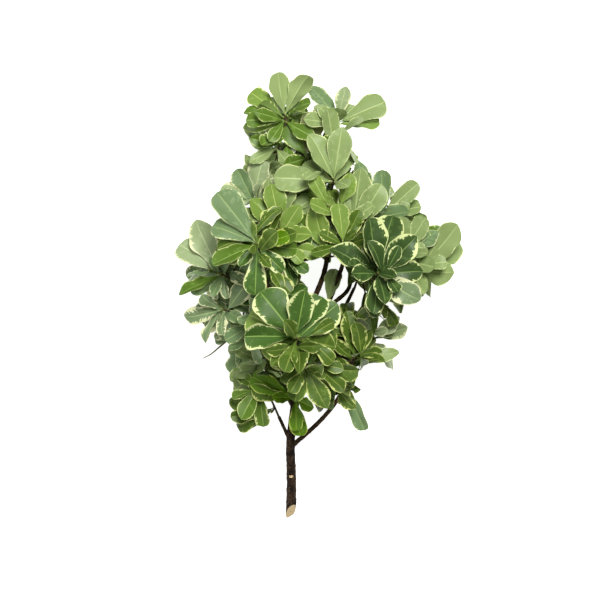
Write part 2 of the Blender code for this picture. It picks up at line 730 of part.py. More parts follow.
def leaf_object(name, leaf, collection):
    """Closed thin blade."""
    mesh = bpy.data.meshes.new(name)
    mesh.from_pydata([metres(corner) for corner in leaf_corners(leaf)], [], LEAF_FACES)
    tidy_mesh(mesh)
    return mesh_object(name, mesh, collection)


def build_limbs(crown, parts, cutters):
    """The stem and boughs, each cut clear of the limb that carries it from the side."""
    bark = new_material("bark")
    for limb in LIMBS:
        path, radii = crown.limb_paths[limb.name], crown.limb_radii[limb.name]
        bevel = BOUGH_BEVEL if limb.parent else STEM_BEVEL
        item = tube_object(limb.name, path, radii, parts, bevel)
        item.data.materials.append(bark)
        if not limb.parent:
            cut_foot(item)
        elif limb.at < 1:
            clear_of_limb(item, limb.parent, crown, cutters)


def clear_of_limb(item, limb_name, crown, cutters):
    """Cut a piece clear of a limb, with the joint gap between them."""
    name = "clearance_of_" + limb_name
    cutter = bpy.data.objects.get(name)
    if cutter is None:
        bevel = STEM_BEVEL if limb_name == "main_stem" else BOUGH_BEVEL
        cutter = tube_object(name, crown.limb_paths[limb_name], crown.limb_radii[limb_name],
                             cutters, bevel, JOINT_GAP)
        cutter.hide_render = True
        cutter.display_type = "WIRE"
    add_boolean(item, "clear_of_parent", "DIFFERENCE", object=cutter)


def build_masses(crown, parts, cutters):
    """Each mass of foliage as one closed body."""
    green = new_material("leaf")
    for mass in MASSES:
        twigs = crown.twigs[mass.name]
        stem = tube_object(mass.name, *twigs[0], parts, 0)
        pieces = new_collection(mass.name + "_pieces")
        for number, (path, radii) in enumerate(twigs[1:]):
            tube_object(f"{mass.name}_twig_{number}", path, radii, pieces, 0)
        for number, leaf in enumerate(crown.leaves[mass.name]):
            leaf_object(f"{mass.name}_leaf_{number}", leaf, pieces)
        join_mass(stem, pieces)
        stem.data.materials.clear()
        stem.data.materials.append(green)
        if mass.at < 1:
            clear_of_limb(stem, mass.limb, crown, cutters)


def main():
    """Build the branch."""
    for item in list(bpy.data.objects):
        bpy.data.objects.remove(item)
    parts = new_collection(BRANCH_NAME)
    cutters = new_collection("cutters", hidden=True)
    crown = Crown()
    build_limbs(crown, parts, cutters)
    build_masses(crown, parts, cutters)
    for mass in MASSES:
        print(mass.name, len(crown.leaves[mass.name]), "leaves",
              len(bpy.data.objects[mass.name].data.polygons), "triangles")


if __name__ == "__main__":
    main()
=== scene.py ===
"""Dress the cut branch of a variegated evergreen shrub, which lies on the floor seen from above.

The tables are in millimetres and the scene is in metres. The branch lies along +Y with its cut
foot at -Y. Twigs and leaves grow from the limbs by a seeded rule, then by finer side twigs and
young leaves within the same reach.
"""
import json
import logging
import random
from dataclasses import dataclass, field, replace
from enum import Enum, IntEnum
from functools import partialmethod
from itertools import product
from math import asin, atan, atan2, cos, degrees, exp, pi, radians, sin, tan
from typing import Iterable, Optional, Sequence, Union

import bmesh
import bpy
import numpy as np
from bpy.types import Material, Mesh, Node, NodeSocket, NodeTree, Object
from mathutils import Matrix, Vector, noise
from mathutils.bvhtree import BVHTree

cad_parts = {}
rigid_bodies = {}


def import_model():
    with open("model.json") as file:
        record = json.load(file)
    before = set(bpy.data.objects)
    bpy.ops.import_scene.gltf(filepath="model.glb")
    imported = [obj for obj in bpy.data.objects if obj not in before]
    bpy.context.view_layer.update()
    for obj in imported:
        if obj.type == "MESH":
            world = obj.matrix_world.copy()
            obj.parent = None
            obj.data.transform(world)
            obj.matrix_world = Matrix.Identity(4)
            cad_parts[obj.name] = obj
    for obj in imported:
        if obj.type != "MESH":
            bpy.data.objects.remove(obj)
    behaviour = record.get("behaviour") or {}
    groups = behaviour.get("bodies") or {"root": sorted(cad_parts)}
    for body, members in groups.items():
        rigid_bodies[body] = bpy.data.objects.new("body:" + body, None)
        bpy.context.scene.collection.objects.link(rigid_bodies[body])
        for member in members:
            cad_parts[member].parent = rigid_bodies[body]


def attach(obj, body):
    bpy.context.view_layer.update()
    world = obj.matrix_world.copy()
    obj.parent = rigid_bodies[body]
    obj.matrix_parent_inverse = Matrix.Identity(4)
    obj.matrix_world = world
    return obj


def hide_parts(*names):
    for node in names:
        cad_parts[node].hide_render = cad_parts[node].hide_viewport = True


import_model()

LOG = logging.getLogger("branch")
BODY = "root"
MM = 0.001
FULL_TURN = (0.0, 360.0)

Colour = tuple[float, float, float]
Triple = tuple[float, float, float]
Span = tuple[float, float]
Path = Sequence[Vector]
Array = np.ndarray
Fan = tuple[tuple, ...]
Sizes = tuple[float, float, float, float]
Rod = tuple[list[Vector], list[float]]

# The limbs and the foliage rule, with the sizes that the solids have.
JOINT_GAP = 0.3
COLLAR = 3.5
TEST_MARGIN = 0.8
FOOT_CUT_PLACE = (-41.0, -302.0, 6.8)
FOOT_CUT_NORMAL = (0.389, -0.629, 0.673)
FRAME_SHIFT = (1.0, 8.7, 0.0)
STEM_STEPS = 3
BOUGH_STEPS = 2
TWIG_STEPS = 3
TWIG_BASE_RADIUS = 1.8
TWIG_TIP_RADIUS = 1.25
FORK_RADIUS = 1.53
FORK_START = 0.12
FORK_STEP = 0.16
ARC_PULL = 0.38
STALK_HALF_WIDTH = 0.7
STALK_HALF_DEPTH = 0.6
BLADE_HALF_DEPTH = 0.45
WIDEST_AT = 0.6
SHOULDER_AT = 0.88
SHOULDER_WIDTH = 0.66
LEAF_FOLD = 0.16
GOLDEN_TURN = 137.508
INNER_LENGTH = 0.7
WHORL_DEPTH = 10.0
FAN_TILT = 2.0
RULE_TILT = 1.0
HANGING_RISE = -25.0
OLD_BEND = 0.16
FAN_BEND = 0.07
TURN_TRIES = (0, 14, -14, 28, -28, 42, -42)
SPREAD_TRIES = (0, -12, 12)
FAN_TURN_TRIES = (0, 6, -6, 12, -12)
FAN_LIFT_TRIES = (0, 8, -8, 16, -16)
OWN_MASS_START = 0.18
OWN_WHORL_START = 0.42
NEAR_SHARE = 0.62
FLOOR_LIFT = 70.0
FLOOR_HALVINGS = 16
TEST_SIDES = 8
LEAST_FACE = 0.05
MIDRIB_TESTS = (0.2, 0.4, 0.55, 0.8)

# What only the drawing has: how bright pure white shows, how far above the floor the lowest
# corners lie, and how far a limb reaches back into its parent's tip.
FULL_LIGHT = 1.16
FLOOR_GAP = 0.1
ROOT_LENGTH = 2.0


@dataclass(frozen=True)
class LeafColours:
    """Colours of one kind of spray as they show, its cream's reach, and how crinkled it is."""

    blade: Colour
    mottle: Colour
    rib: Colour
    under: Colour
    margin: Colour
    cream: float
    crinkle: float = 1.0


class Spray(Enum):
    """Kinds of foliage, each dealt out to whole sprays; SHADE is painted shade, darker colours for leaves
    low and deep in the crown.
    """

    DEEP = LeafColours((62, 86, 40), (78, 104, 50), (112, 140, 72), (102, 128, 64),
        (216, 226, 156), 0.26, 1.3)
    FOREST = LeafColours((74, 106, 44), (90, 122, 54), (130, 160, 76), (112, 140, 64),
        (222, 230, 164), 0.29, 1.2)
    MID = LeafColours((94, 124, 42), (108, 140, 56), (142, 170, 88), (124, 150, 76),
        (208, 218, 142), 0.16, 1.2)
    SAGE = LeafColours((142, 163, 100), (152, 172, 112), (182, 199, 132), (150, 170, 106),
        (214, 224, 156), 0.07)
    PALE = LeafColours((156, 174, 124), (168, 184, 138), (190, 205, 150), (156, 175, 118),
        (228, 232, 180), 0.26, 1.4)
    GREY = LeafColours((114, 140, 92), (130, 154, 106), (150, 172, 110), (128, 150, 92),
        (214, 222, 164), 0.16, 1.3)
    FROST = LeafColours((120, 142, 98), (138, 158, 116), (164, 182, 126), (138, 156, 104),
        (228, 230, 180), 0.4, 1.8)
    FRESH = LeafColours((122, 150, 64), (134, 160, 76), (170, 190, 104), (144, 170, 84),
        (212, 224, 138), 0.1)
    BRIGHT = LeafColours((92, 132, 14), (106, 146, 24), (148, 178, 60), (124, 154, 46),
        (208, 222, 110), 0.14)
    OLIVE = LeafColours((82, 108, 36), (98, 124, 46), (134, 152, 70), (114, 134, 60),
        (204, 212, 128), 0.18, 1.2)
    DRY = LeafColours((132, 138, 88), (142, 148, 98), (160, 168, 112), (140, 146, 96),
        (184, 184, 132), 0.1, 1.2)
    # painted shade: darker leaf colours for the shade that falls low and deep in the crown
    SHADE = LeafColours((64, 88, 26), (80, 104, 36), (102, 124, 58), (90, 110, 48),
        (170, 182, 108), 0.14, 1.5)


DEEP, FOREST, MID, SAGE, PALE, GREY, FROST, FRESH, BRIGHT, OLIVE, DRY, SHADE = Spray


class Zone(IntEnum):
    """Places on a leaf that have a colour of their own."""

    BLADE, MOTTLE, MARGIN, RIB, UNDER = range(5)


@dataclass(frozen=True)
class Limb:
    """A stem or bough: control points after the start, which lies on the parent at a fraction."""

    name: str
    parent: str
    at: float
    points: tuple
    base_radius: float
    tip_radius: float


@dataclass(frozen=True)
class Shoot:
    """A twig's end: place, bearing and rise of its axis, its rule leaves, its fan and its spray."""

    place: Triple
    bearing: float
    rise: float
    leaves: int
    leaf_length: float = 54.0
    breadth: float = 0.5
    fan: Fan = ()
    facing: int = 1
    spray: Spray = MID


@dataclass(frozen=True)
class Mass:
    """Foliage on one limb: the first shoot ends its stem, and the rest fork from it."""

    name: str
    limb: str
    at: float
    shoots: tuple


# Places where a known leaf or limb shows, as windows: only the finer growth stays out of them.
SHOWN_PLACES = (
    (-27.0, -168.0, 11.0, 26.0), (-54.0, -170.0, 9.0, 18.0), (2.0, -168.0, 12.0, 12.0),
    (45.8, 139.8, 12.0, 22.0), (-66.6, -123.5, 20.0, 13.0), (54.0, 201.0, 13.0, 24.0),
    (-104.0, 200.0, 9.0, 20.0), (-14.0, -139.0, 9.0, 15.0), (54.0, -130.0, 9.0, 20.0),
    (114.0, -17.0, 14.0, 10.0), (94.0, -68.0, 14.0, 7.0), (153.0, 8.0, 10.0, 8.0),
    (-133.0, -77.0, 10.0, 12.0), (-159.0, -30.0, 12.0, 7.0), (-21.0, -38.0, 17.0, 13.0),
)


class Grade(Enum):
    """How many faces a leaf gets."""

    FINE = "known leaves"
    PLAIN = "leaves by the rule"
    SMALL = "young leaves"


@dataclass
class Leaf:
    """One blade: root, direction, upper face, sizes and spray."""

    root: Vector
    along: Vector
    face: Vector
    length: float
    width: float
    bend: float
    spray: Spray = MID
    grade: Grade = Grade.PLAIN


MAIN_STEM = ((-41, -312, 6.2), (-40, -258, 12), (-41, -201, 24), (-34, -145, 38), (-28, -101, 50),
             (-21, -60, 61), (-11, -12, 72))

LIMBS = (
    Limb("main_stem", "", 0.0, MAIN_STEM, 6.3, 3.5),
    Limb("bough_top", "main_stem", 1.0, ((3, 24, 82), (10, 59, 90), (12, 93, 98), (13, 122, 106)), 3.4,
         2.2),
    Limb("bough_top_left", "main_stem", 0.91, ((-30, 2, 70), (-34, 40, 76), (-38, 93, 82),
         (-38, 140, 86), (-40, 178, 88)), 3.0, 2.2),
    Limb("bough_upper_middle", "main_stem", 0.85, ((2, -27, 68), (16, 2, 80), (24, 24, 92),
         (30, 43, 104), (32, 56, 114)), 3.1, 2.2),
    Limb("bough_upper_right", "bough_upper_middle", 0.33, ((31, -1, 68), (40, 14, 68), (44, 43, 72),
         (54, 73, 78)), 2.6, 2.0),
    Limb("bough_upper_left", "main_stem", 0.81, ((-33, -48, 72), (-42, -8, 86), (-52, 21, 100),
         (-58, 48, 112)), 2.8, 2.0),
    Limb("bough_left_front", "main_stem", 0.705, ((-42, -72, 76), (-56, -30, 104), (-70, 12, 134)), 2.8,
         2.1),
    Limb("bough_middle_left", "main_stem", 0.655, ((-40, -98, 64), (-48, -74, 76), (-56, -52, 86)), 2.6,
         2.0),
    Limb("bough_left", "main_stem", 0.615, ((-55, -90, 54), (-80, -44, 66), (-100, -10, 80)), 2.8, 2.1),
    Limb("bough_left_low", "main_stem", 0.51, ((-50, -133, 42), (-60, -119, 47), (-69, -106, 52)), 2.6,
         2.0),
    Limb("bough_foot_left", "main_stem", 0.355, ((-47, -191, 26), (-52, -180, 30), (-57, -169, 35)),
         2.4, 1.9),
    Limb("bough_front", "main_stem", 0.75, ((-27, -82, 84), (-29, -84, 112), (-29, -80, 134)), 2.8,
         2.1),
    Limb("bough_foot_right", "main_stem", 0.33, ((-9, -183, 28), (16, -155, 38), (34, -125, 50),
         (43, -101, 62)), 2.8, 2.4),
    Limb("bough_right_front", "bough_foot_right", 1.0, ((50, -70, 70), (57, -38, 82), (61, -12, 102),
         (66, 8, 128)), 2.4, 2.0),
    Limb("bough_right", "bough_right_front", 0.42, ((74, -24, 82), (92, 2, 88), (105, 20, 92)), 2.2,
         1.8),
    Limb("bough_back_upper", "main_stem", 0.96, ((-23, 0, 58), (-33, 28, 47), (-34, 50, 43)), 2.6, 2.0),
    Limb("bough_back_left", "main_stem", 0.575, ((-46, -104, 30), (-64, -66, 28), (-84, -34, 36)), 2.6,
         2.0),
    Limb("bough_back_right", "main_stem", 0.775, ((-2, -62, 48), (24, -34, 44), (46, 8, 42)), 2.6, 2.0),
)

MASSES = (
    Mass("leaves_front", "bough_front", 1.0, (
        Shoot((-33, -56, 188), 90, 80, 2, 52, 0.6, ((176, 67, 4, FOREST), (127, 75, 6, FOREST),
          (81, 65, 8, FOREST), (40, 70, 4, FOREST), (152, 76, -16, FRESH)), spray=OLIVE),
        Shoot((-19, -98, 158), 285, 72, 3, 50, 0.42, ((70, 54, 12, MID), (53, 61, -8, BRIGHT),
          (353, 69, 4), (293, 63, 6), (230, 26, 22, MID), (158, 61, 0, FRESH)), spray=OLIVE),
    )),
    Mass("leaves_right_front", "bough_right_front", 1.0, (
        Shoot((73, 27, 182), 70, 76, 3, 54, 0.5, ((102, 74, 18), (79, 77, 4), (42, 69, 8), (4, 59, 6),
          (322, 65, 4, FROST), (187, 34, 10), (148, 71, -2)), spray=DEEP),
        Shoot((82, -12, 122), 290, 35, 5, 46, spray=OLIVE),
    )),
    Mass("leaves_left_front", "bough_left_front", 1.0, (
        Shoot((-85, 66, 182), 140, 68, 3, 50, 0.44, ((126, 83, 10, GREY), (154, 63, -4, GREY),
          (203, 63, 2, MID), (228, 38, 16, FOREST), (267, 65, 2, FOREST), (316, 47, 4, FOREST),
          (20, 46, 26, BRIGHT), (0, 54, -12, MID)), spray=OLIVE),
    )),
    Mass("leaves_upper_middle", "bough_upper_middle", 1.0, (
        Shoot((28, 66, 162), 88, 45, 3, 46, 0.44, ((94, 53, 16, FRESH), (66, 50, 12)), spray=OLIVE),
        Shoot((25, 115, 160), 80, 35, 3, 42, 0.5, ((71, 45, 12),), spray=FRESH),
        Shoot((43, 90, 128), 72, 10, 4, 56, 0.44, ((85, 79, 16), (55, 71, 12)), spray=SAGE),
        Shoot((9, 50, 150), 104, 25, 3, 54, 0.46, ((111, 71, 14), (134, 74, -8, MID)), spray=FRESH),
        Shoot((8, 88, 130), 100, 60, 4, 52, spray=OLIVE),
    )),
    Mass("leaves_upper_left", "bough_upper_left", 1.0, (
        Shoot((-54, 85, 145), 100, 30, 3, 52, 0.46, ((100, 61, 14), (130, 58, -12), (45, 40, -6)),
          spray=FRESH),
        Shoot((-43, 50, 128), 20, 30, 3, 46, 0.5, ((8, 42, 4), (67, 36, 12), (282, 46, -12)),
          spray=FOREST),
        Shoot((-92, 124, 112), 130, 50, 4, 58, 0.5, ((75, 57, 14, 0.58), (144, 44, 0, GREY),
          (118, 54, 4, GREY)), spray=PALE),
        Shoot((-51, 140, 96), 100, 45, 5, 59, spray=PALE),
        Shoot((-64, 106, 138), 110, 62, 5, 56, spray=SAGE),
        Shoot((-24, 100, 126), 90, 55, 4, 56, spray=OLIVE),
    )),
    Mass("leaves_top_right", "bough_top", 1.0, (
        Shoot((16, 150, 158), 85, 38, 3, 52, 0.44, ((116, 67, 12), (81, 71, 12), (175, 78, 6),
          (144, 51, -16)), spray=SAGE),
        Shoot((23, 232, 112), 75, 5, 3, 42, 0.5, ((126, 62, -6, 0.44, GREY), (81, 49, 22, 0.4, PALE),
          (26, 69, 8), (9, 57, -5, FRESH), (232, 36, -14, MID)), spray=SAGE),
        Shoot((-1, 148, 50), 90, -40, 5, 60, spray=MID),
    )),
    Mass("leaves_top_left", "bough_top_left", 1.0, (
        Shoot((-49, 239, 118), 95, -12, 3, 46, 0.46, ((101, 57, 12, SAGE), (65, 64, 14, SAGE),
          (143, 60, -8, 0.5, FRESH), (184, 59, -12, FRESH)), -1, MID),
        Shoot((-66, 190, 92), 150, 40, 4, 50, 0.5, ((137, 40, 0, GREY),), spray=SAGE),
        Shoot((-18, 180, 122), 100, 55, 4, 58, 0.5, ((124, 52, 4, MID), (80, 63, -2, DRY)), spray=MID),
        Shoot((-42, 213, 38), 100, -35, 5, 57, spray=MID),
        Shoot((-72, 164, 104), 140, 50, 4, 54, spray=SAGE),
        Shoot((-34, 202, 114), 95, 50, 4, 54, spray=FRESH),
    )),
    Mass("leaves_middle_left", "bough_middle_left", 1.0, (
        Shoot((-66, -8, 112), 120, 45, 4, 54, 0.5, ((43, 52, 4, OLIVE), (80, 56, -4),
          (31, 52, -18, OLIVE)), spray=FOREST),
        Shoot((-95, -42, 100), 190, 50, 6, 54, spray=GREY),
        Shoot((-76, -66, 98), 205, 60, 5, 54, spray=OLIVE),
    )),
    Mass("leaves_left", "bough_left", 1.0, (
        Shoot((-135, 27, 112), 165, 28, 3, 46, 0.42, ((114, 78, 8, 0.48, PALE), (140, 69, 0, 0.5, PALE),
          (203, 64, 4, 0.3, MID), (276, 32, 14, FROST), (90, 50, 22)), spray=GREY),
        Shoot((-152, 43, 75), 160, 25, 4, 48, spray=FROST),
        Shoot((-116, 74, 88), 130, 45, 5, 57, spray=PALE),
    )),
    Mass("leaves_left_low", "bough_left_low", 1.0, (
        Shoot((-110, -48, 60), 200, 20, 5, 57, spray=GREY),
        Shoot((-84, -88, 72), 185, 50, 6, 60, 0.44, spray=SAGE),
        Shoot((-133, -21, 96), 190, 50, 4, 55, 0.46, ((195, 53, -4), (268, 42, -6)), spray=FROST),
        Shoot((-90, -82, 32), 215, -45, 4, 52, spray=SHADE),
    )),
    Mass("leaves_lower_front", "main_stem", 0.54, (
        Shoot((-37, -141, 78), 200, 60, 3, 46, 0.44, ((152, 65, 6), (134, 56, -2, FOREST),
          (170, 60, -10, OLIVE), (277, 54, -8)), spray=BRIGHT),
        Shoot((-58, -104, 66), 150, 55, 6, 54, spray=OLIVE),
        Shoot((-8, -118, 78), 350, 60, 4, 50, spray=SHADE),
    )),
    Mass("leaves_foot_left", "bough_foot_left", 1.0, (
        Shoot((-88, -128, 72), 185, 45, 6, 54, spray=MID),
        Shoot((-66, -160, 54), 185, 12, 1, 44, 0.36, ((168, 61, 2), (192, 59, 6), (205, 59, -8),
          (219, 60, -30, 0.2, SHADE)), spray=OLIVE),
        Shoot((-97, -112, 58), 195, 10, 4, 52, spray=MID),
        Shoot((-76, -140, 58), 180, 50, 4, 50, spray=MID),
    )),
    Mass("leaves_foot_right", "bough_foot_right", 0.93, (
        Shoot((44, -85, 112), 70, 40, 3, 48, 0.46, ((95, 58, 12), (63, 45, 6), (11, 63, 2, 0.3, SAGE)),
          spray=OLIVE),
        Shoot((75, -59, 76), 20, 12, 4, 42, 0.56, ((18, 45, 12), (98, 39, 14, MID)), spray=PALE),
        Shoot((30, -119, 80), 290, 25, 4, 50, 0.5, ((285, 37, 10), (289, 77, -4, 0.28, GREY)),
          spray=OLIVE),
        Shoot((12, -84, 32), 210, -45, 5, 52, spray=SHADE),
        Shoot((12, -75, 102), 100, 50, 4, 54, spray=OLIVE),
        Shoot((38, -42, 92), 80, 60, 4, 48, spray=OLIVE),
    )),
    Mass("leaves_right", "bough_right", 1.0, (
        Shoot((132, 33, 104), 28, -12, 3, 54, 0.48, ((45, 79, 10), (354, 50, 8, 0.64), (30, 75, -10)), -1,
          SAGE),
        Shoot((110, 56, 122), 68, 18, 4, 48, 0.46, ((58, 54, 12), (97, 52, 14), (41, 58, -6, GREY)),
          spray=SAGE),
        Shoot((127, 73, 62), 45, -30, 5, 59, spray=MID),
    )),
    Mass("leaves_upper_right", "bough_upper_right", 1.0, (
        Shoot((84, 107, 100), 68, 8, 4, 48, 0.4, ((42, 62, 6, SAGE), (91, 62, 12), (24, 44, 14, SAGE)),
          spray=GREY),
        Shoot((60, 126, 98), 85, 50, 4, 54, 0.5, ((97, 54, 5, 0.38), (114, 50, -7, 0.38)), spray=GREY),
        Shoot((99, 121, 65), 60, -10, 5, 50, spray=SAGE),
        Shoot((72, 72, 114), 60, 50, 5, 52, spray=MID),
    )),
    Mass("leaves_back_upper", "bough_back_upper", 1.0, (
        Shoot((-22, 98, 34), 90, -60, 4, 59, spray=MID),
        Shoot((-50, 122, 34), 120, -45, 5, 59, spray=OLIVE),
        Shoot((26, 101, 30), 50, -55, 5, 59, spray=FOREST),
        Shoot((-64, 60, 36), 160, -50, 4, 57, spray=MID),
    )),
    Mass("leaves_back_left", "bough_back_left", 1.0, (
        Shoot((-105, 2, 33), 175, -50, 5, 59, spray=MID),
        Shoot((-84, 34, 36), 130, -55, 5, 57, spray=MID),
        Shoot((-138, -4, 38), 185, -30, 5, 54, spray=MID),
    )),
    Mass("leaves_back_right", "bough_back_right", 1.0, (
        Shoot((61, 70, 32), 60, -55, 5, 59, spray=MID),
        Shoot((98, 24, 34), 10, -45, 5, 59, spray=FOREST),
        Shoot((66, -10, 34), 320, -45, 4, 54, spray=OLIVE),
    )),
)

# Windows through the crown, seen from above: middle x, middle y, half width, half height.
SKY_WINDOWS = (
    (-2.3, 41.0, 4.8, 12.0), (-8.8, 20.0, 8.6, 8.6), (18.8, 42.9, 6.0, 7.4), (28.1, 14.7, 6.0, 14.7),
    (49.6, -4.0, 8.0, 16.0), (94.5, -18.0, 6.0, 8.0), (73.7, -57.6, 3.4, 4.7),
    (-50.9, -163.5, 6.7, 16.0), (-22.8, -130.0, 4.7, 9.4), (-10.0, -166.0, 8.0, 12.0),
    (-74.0, 218.0, 6.0, 6.0), (3.0, 223.0, 4.0, 4.0), (74.0, -108.0, 18.0, 14.0),
    (-61.0, -180.0, 7.0, 13.0),
)

def unit(bearing: float, rise: float) -> Vector:
    """Give the direction of a bearing in the floor's plane and a rise above it.

    Args:
        bearing: Degrees from +X towards +Y.
        rise: Degrees above the floor.

    Returns:
        A vector of length one.
    """
    turn, lift = radians(bearing), radians(rise)
    flat = cos(lift)
    return Vector((cos(turn) * flat, sin(turn) * flat, sin(lift)))


def swung(first: Vector, second: Vector, angle: float) -> Vector:
    """Give the direction at an angle in radians from one direction towards another."""
    return first * cos(angle) + second * sin(angle)


def square_to(way: Vector, vector: Vector) -> Vector:
    """Give the part of a vector that stands square to a direction."""
    return vector - way * vector.dot(way)


def axes_round(axis: Vector) -> tuple[Vector, Vector, Vector]:
    """Give an axis and two directions across it."""
    across = axis.orthogonal().normalized()
    return axis, across, axis.cross(across)


def between(span: Span, share: float) -> float:
    """Give the value at a share of the way from a span's first to its second."""
    return span[0] + (span[1] - span[0]) * share


def way_at(path: Path, i: int) -> Vector:
    """Give a path's direction at one of its points, from the points beside it."""
    return (path[min(i + 1, len(path) - 1)] - path[max(i - 1, 0)]).normalized()


def tip_way(path: Path) -> Vector:
    """Give the direction of a path's last stretch."""
    return (path[-1] - path[-2]).normalized()


def quads(grid: Array) -> Array:
    """Give the four-cornered faces of a grid of corner numbers."""
    return np.stack((grid[:-1, :-1], grid[:-1, 1:], grid[1:, 1:], grid[1:, :-1]),
                    axis=-1).reshape(-1, 4)


def ring_faces(rings: int, sides: int) -> list[list[int]]:
    """Give the faces of a tube whose corners are counted ring by ring."""
    grid = np.arange(rings * sides).reshape(rings, sides)
    return quads(np.column_stack((grid, grid[:, :1]))).tolist()


def smooth_path(points: Iterable, steps: int) -> list[Vector]:
    """Give points of a smooth curve through control points.

    Args:
        points: The control points.
        steps: How many parts each stretch between two of them has.

    Returns:
        The points of the curve.
    """
    points = [Vector(point) for point in points]
    ends = [points[0] * 2 - points[1]] + points + [points[-1] * 2 - points[-2]]
    path = []
    for before, start, end, after in zip(ends, ends[1:], ends[2:], ends[3:]):
        for step in range(steps):
            t = step / steps
            path.append(0.5 * (2 * start + (end - before) * t
                               + (2 * before - 5 * start + 4 * end - after) * t * t
                               + (3 * start - before - 3 * end + after) * t ** 3))
    return path + [points[-1]]


def arc_path(start: Vector, start_way: Vector, end: Vector, end_way: Vector) -> list[Vector]:
    """Give points of a curve that leaves its start and reaches its end in given directions.

    Args:
        start: First point.
        start_way: Direction there.
        end: Last point.
        end_way: Direction there.

    Returns:
        The points of the curve.
    """
    pull = (end - start).length * ARC_PULL
    lead, tail = start + start_way * pull, end - end_way * pull
    path = []
    for step in range(TWIG_STEPS + 1):
        t = step / TWIG_STEPS
        path.append(start * (1 - t) ** 3 + lead * 3 * t * (1 - t) ** 2
                    + tail * 3 * t * t * (1 - t) + end * t ** 3)
    return path


def point_on(path: Path, fraction: float) -> tuple[Vector, Vector]:
    """Give the point and direction at a fraction of a path's length.

    Args:
        path: Points of the path.
        fraction: From 0 at its start to 1 at its end.

    Returns:
        The point, and the direction there.
    """
    lengths = [(b - a).length for a, b in zip(path, path[1:])]
    left = fraction * sum(lengths)
    for a, b, length in zip(path, path[1:], lengths):
        if left <= length:
            return a.lerp(b, left / length), (b - a).normalized()
        left -= length
    return path[-1].copy(), tip_way(path)


def taper(path: Path, base_radius: float, tip_radius: float) -> list[float]:
    """Give one radius for each point of a path, from a base radius to a tip radius."""
    last = len(path) - 1
    return [base_radius + (tip_radius - base_radius) * i / last for i in range(last + 1)]


def limb_path(limb: Limb, limbs: dict[str, Rod]) -> list[Vector]:
    """Give a limb's path, from its parent's axis or from just beyond its parent's tip.

    Args:
        limb: The limb.
        limbs: The limbs before it.

    Returns:
        Points of the path.
    """
    if not limb.parent:
        return smooth_path(limb.points, STEM_STEPS)
    start, way = point_on(limbs[limb.parent][0], limb.at)
    if limb.at < 1:
        return smooth_path((start,) + limb.points, BOUGH_STEPS)
    return [start + way * JOINT_GAP] + smooth_path((start + way * COLLAR,) + limb.points,
                                                   BOUGH_STEPS)


def tube_tree(path: Path, radii: Sequence[float]) -> BVHTree:
    """Make the search tree of a tube's surface, with the test margin round it.

    Args:
        path: The tube's axis.
        radii: Its radius at each point.

    Returns:
        The tree.
    """
    corners = []
    for i, (point, radius) in enumerate(zip(path, radii)):
        _, across, other = axes_round(way_at(path, i))
        for side in range(TEST_SIDES):
            out = swung(across, other, 2 * pi * side / TEST_SIDES)
            corners.append(point + out * (radius + TEST_MARGIN))
    return BVHTree.FromPolygons(corners, ring_faces(len(path), TEST_SIDES))


def leaf_corners(leaf: Leaf, start: float = 0.0, grow: float = 0.0) -> list[Vector]:
    """Give the ten corners of a plain blade, which the rule tests leaves with.

    Args:
        leaf: The leaf.
        start: Share of its length that is left out at the root.
        grow: How much wider and thicker than the leaf it is.

    Returns:
        Three corners round the stalk, four at the widest, two shoulders and the tip.
    """
    side = leaf.along.cross(leaf.face).normalized()
    half = leaf.width / 2

    def corner(at: float, across: float, above: float) -> Vector:
        """Place one corner at a share of the length, across and above the midrib."""
        lift = above + LEAF_FOLD * abs(across) - leaf.bend * leaf.length * at * at
        return leaf.root + leaf.along * (leaf.length * at) + side * across + leaf.face * lift

    stalk = STALK_HALF_WIDTH + (half - STALK_HALF_WIDTH) * start / WIDEST_AT + grow
    wide, shoulder = half + grow, half * SHOULDER_WIDTH + grow
    deep = BLADE_HALF_DEPTH + grow
    places = [(start, stalk, 0), (start, -stalk, 0), (start, 0, -STALK_HALF_DEPTH - grow)]
    places += [(WIDEST_AT, *place) for place in ((wide, 0), (0, deep), (-wide, 0), (0, -deep))]
    places += [(SHOULDER_AT, shoulder, 0), (SHOULDER_AT, -shoulder, 0),
               (1 + grow / leaf.length, 0, 0)]
    return [corner(*place) for place in places]


def leaf_faces() -> list[tuple[int, int, int]]:
    """List the triangles of a plain blade.

    Returns:
        Three corner numbers for each.
    """
    left, right, under, wide_left, top, wide_right, bottom = range(7)
    faces = [(left, right, under), (left, right, top), (left, top, wide_left),
             (right, wide_right, top), (left, wide_left, bottom), (left, bottom, under),
             (right, under, bottom), (right, bottom, wide_right)]
    rim = (wide_left, 7, 9, 8, wide_right)
    for start, end in zip(rim, rim[1:]):
        faces += [(start, top, end), (end, bottom, start)]
    return faces


LEAF_FACES = leaf_faces()


def make_leaf(path: Path, setback: float, way: Vector, sizes: Sizes,
              grade: Grade = Grade.FINE) -> Leaf:
    """Set a blade on a twig's axis with its upper face towards the axis and the sky.

    Args:
        path: The twig's axis.
        setback: How far below the twig's end it grows.
        way: Its direction.
        sizes: Length, width, bend as a share of its length, and how far its face turns to the sky.
        grade: How many faces it gets.

    Returns:
        The leaf.
    """
    length, width, bend, tilt = sizes
    axis = tip_way(path)
    face = square_to(way, axis + Vector((0, 0, tilt)))
    if face.length < LEAST_FACE:
        face = way.orthogonal()
    return Leaf(path[-1] - axis * setback, way.normalized(), face.normalized(), length, width,
                bend, grade=grade)


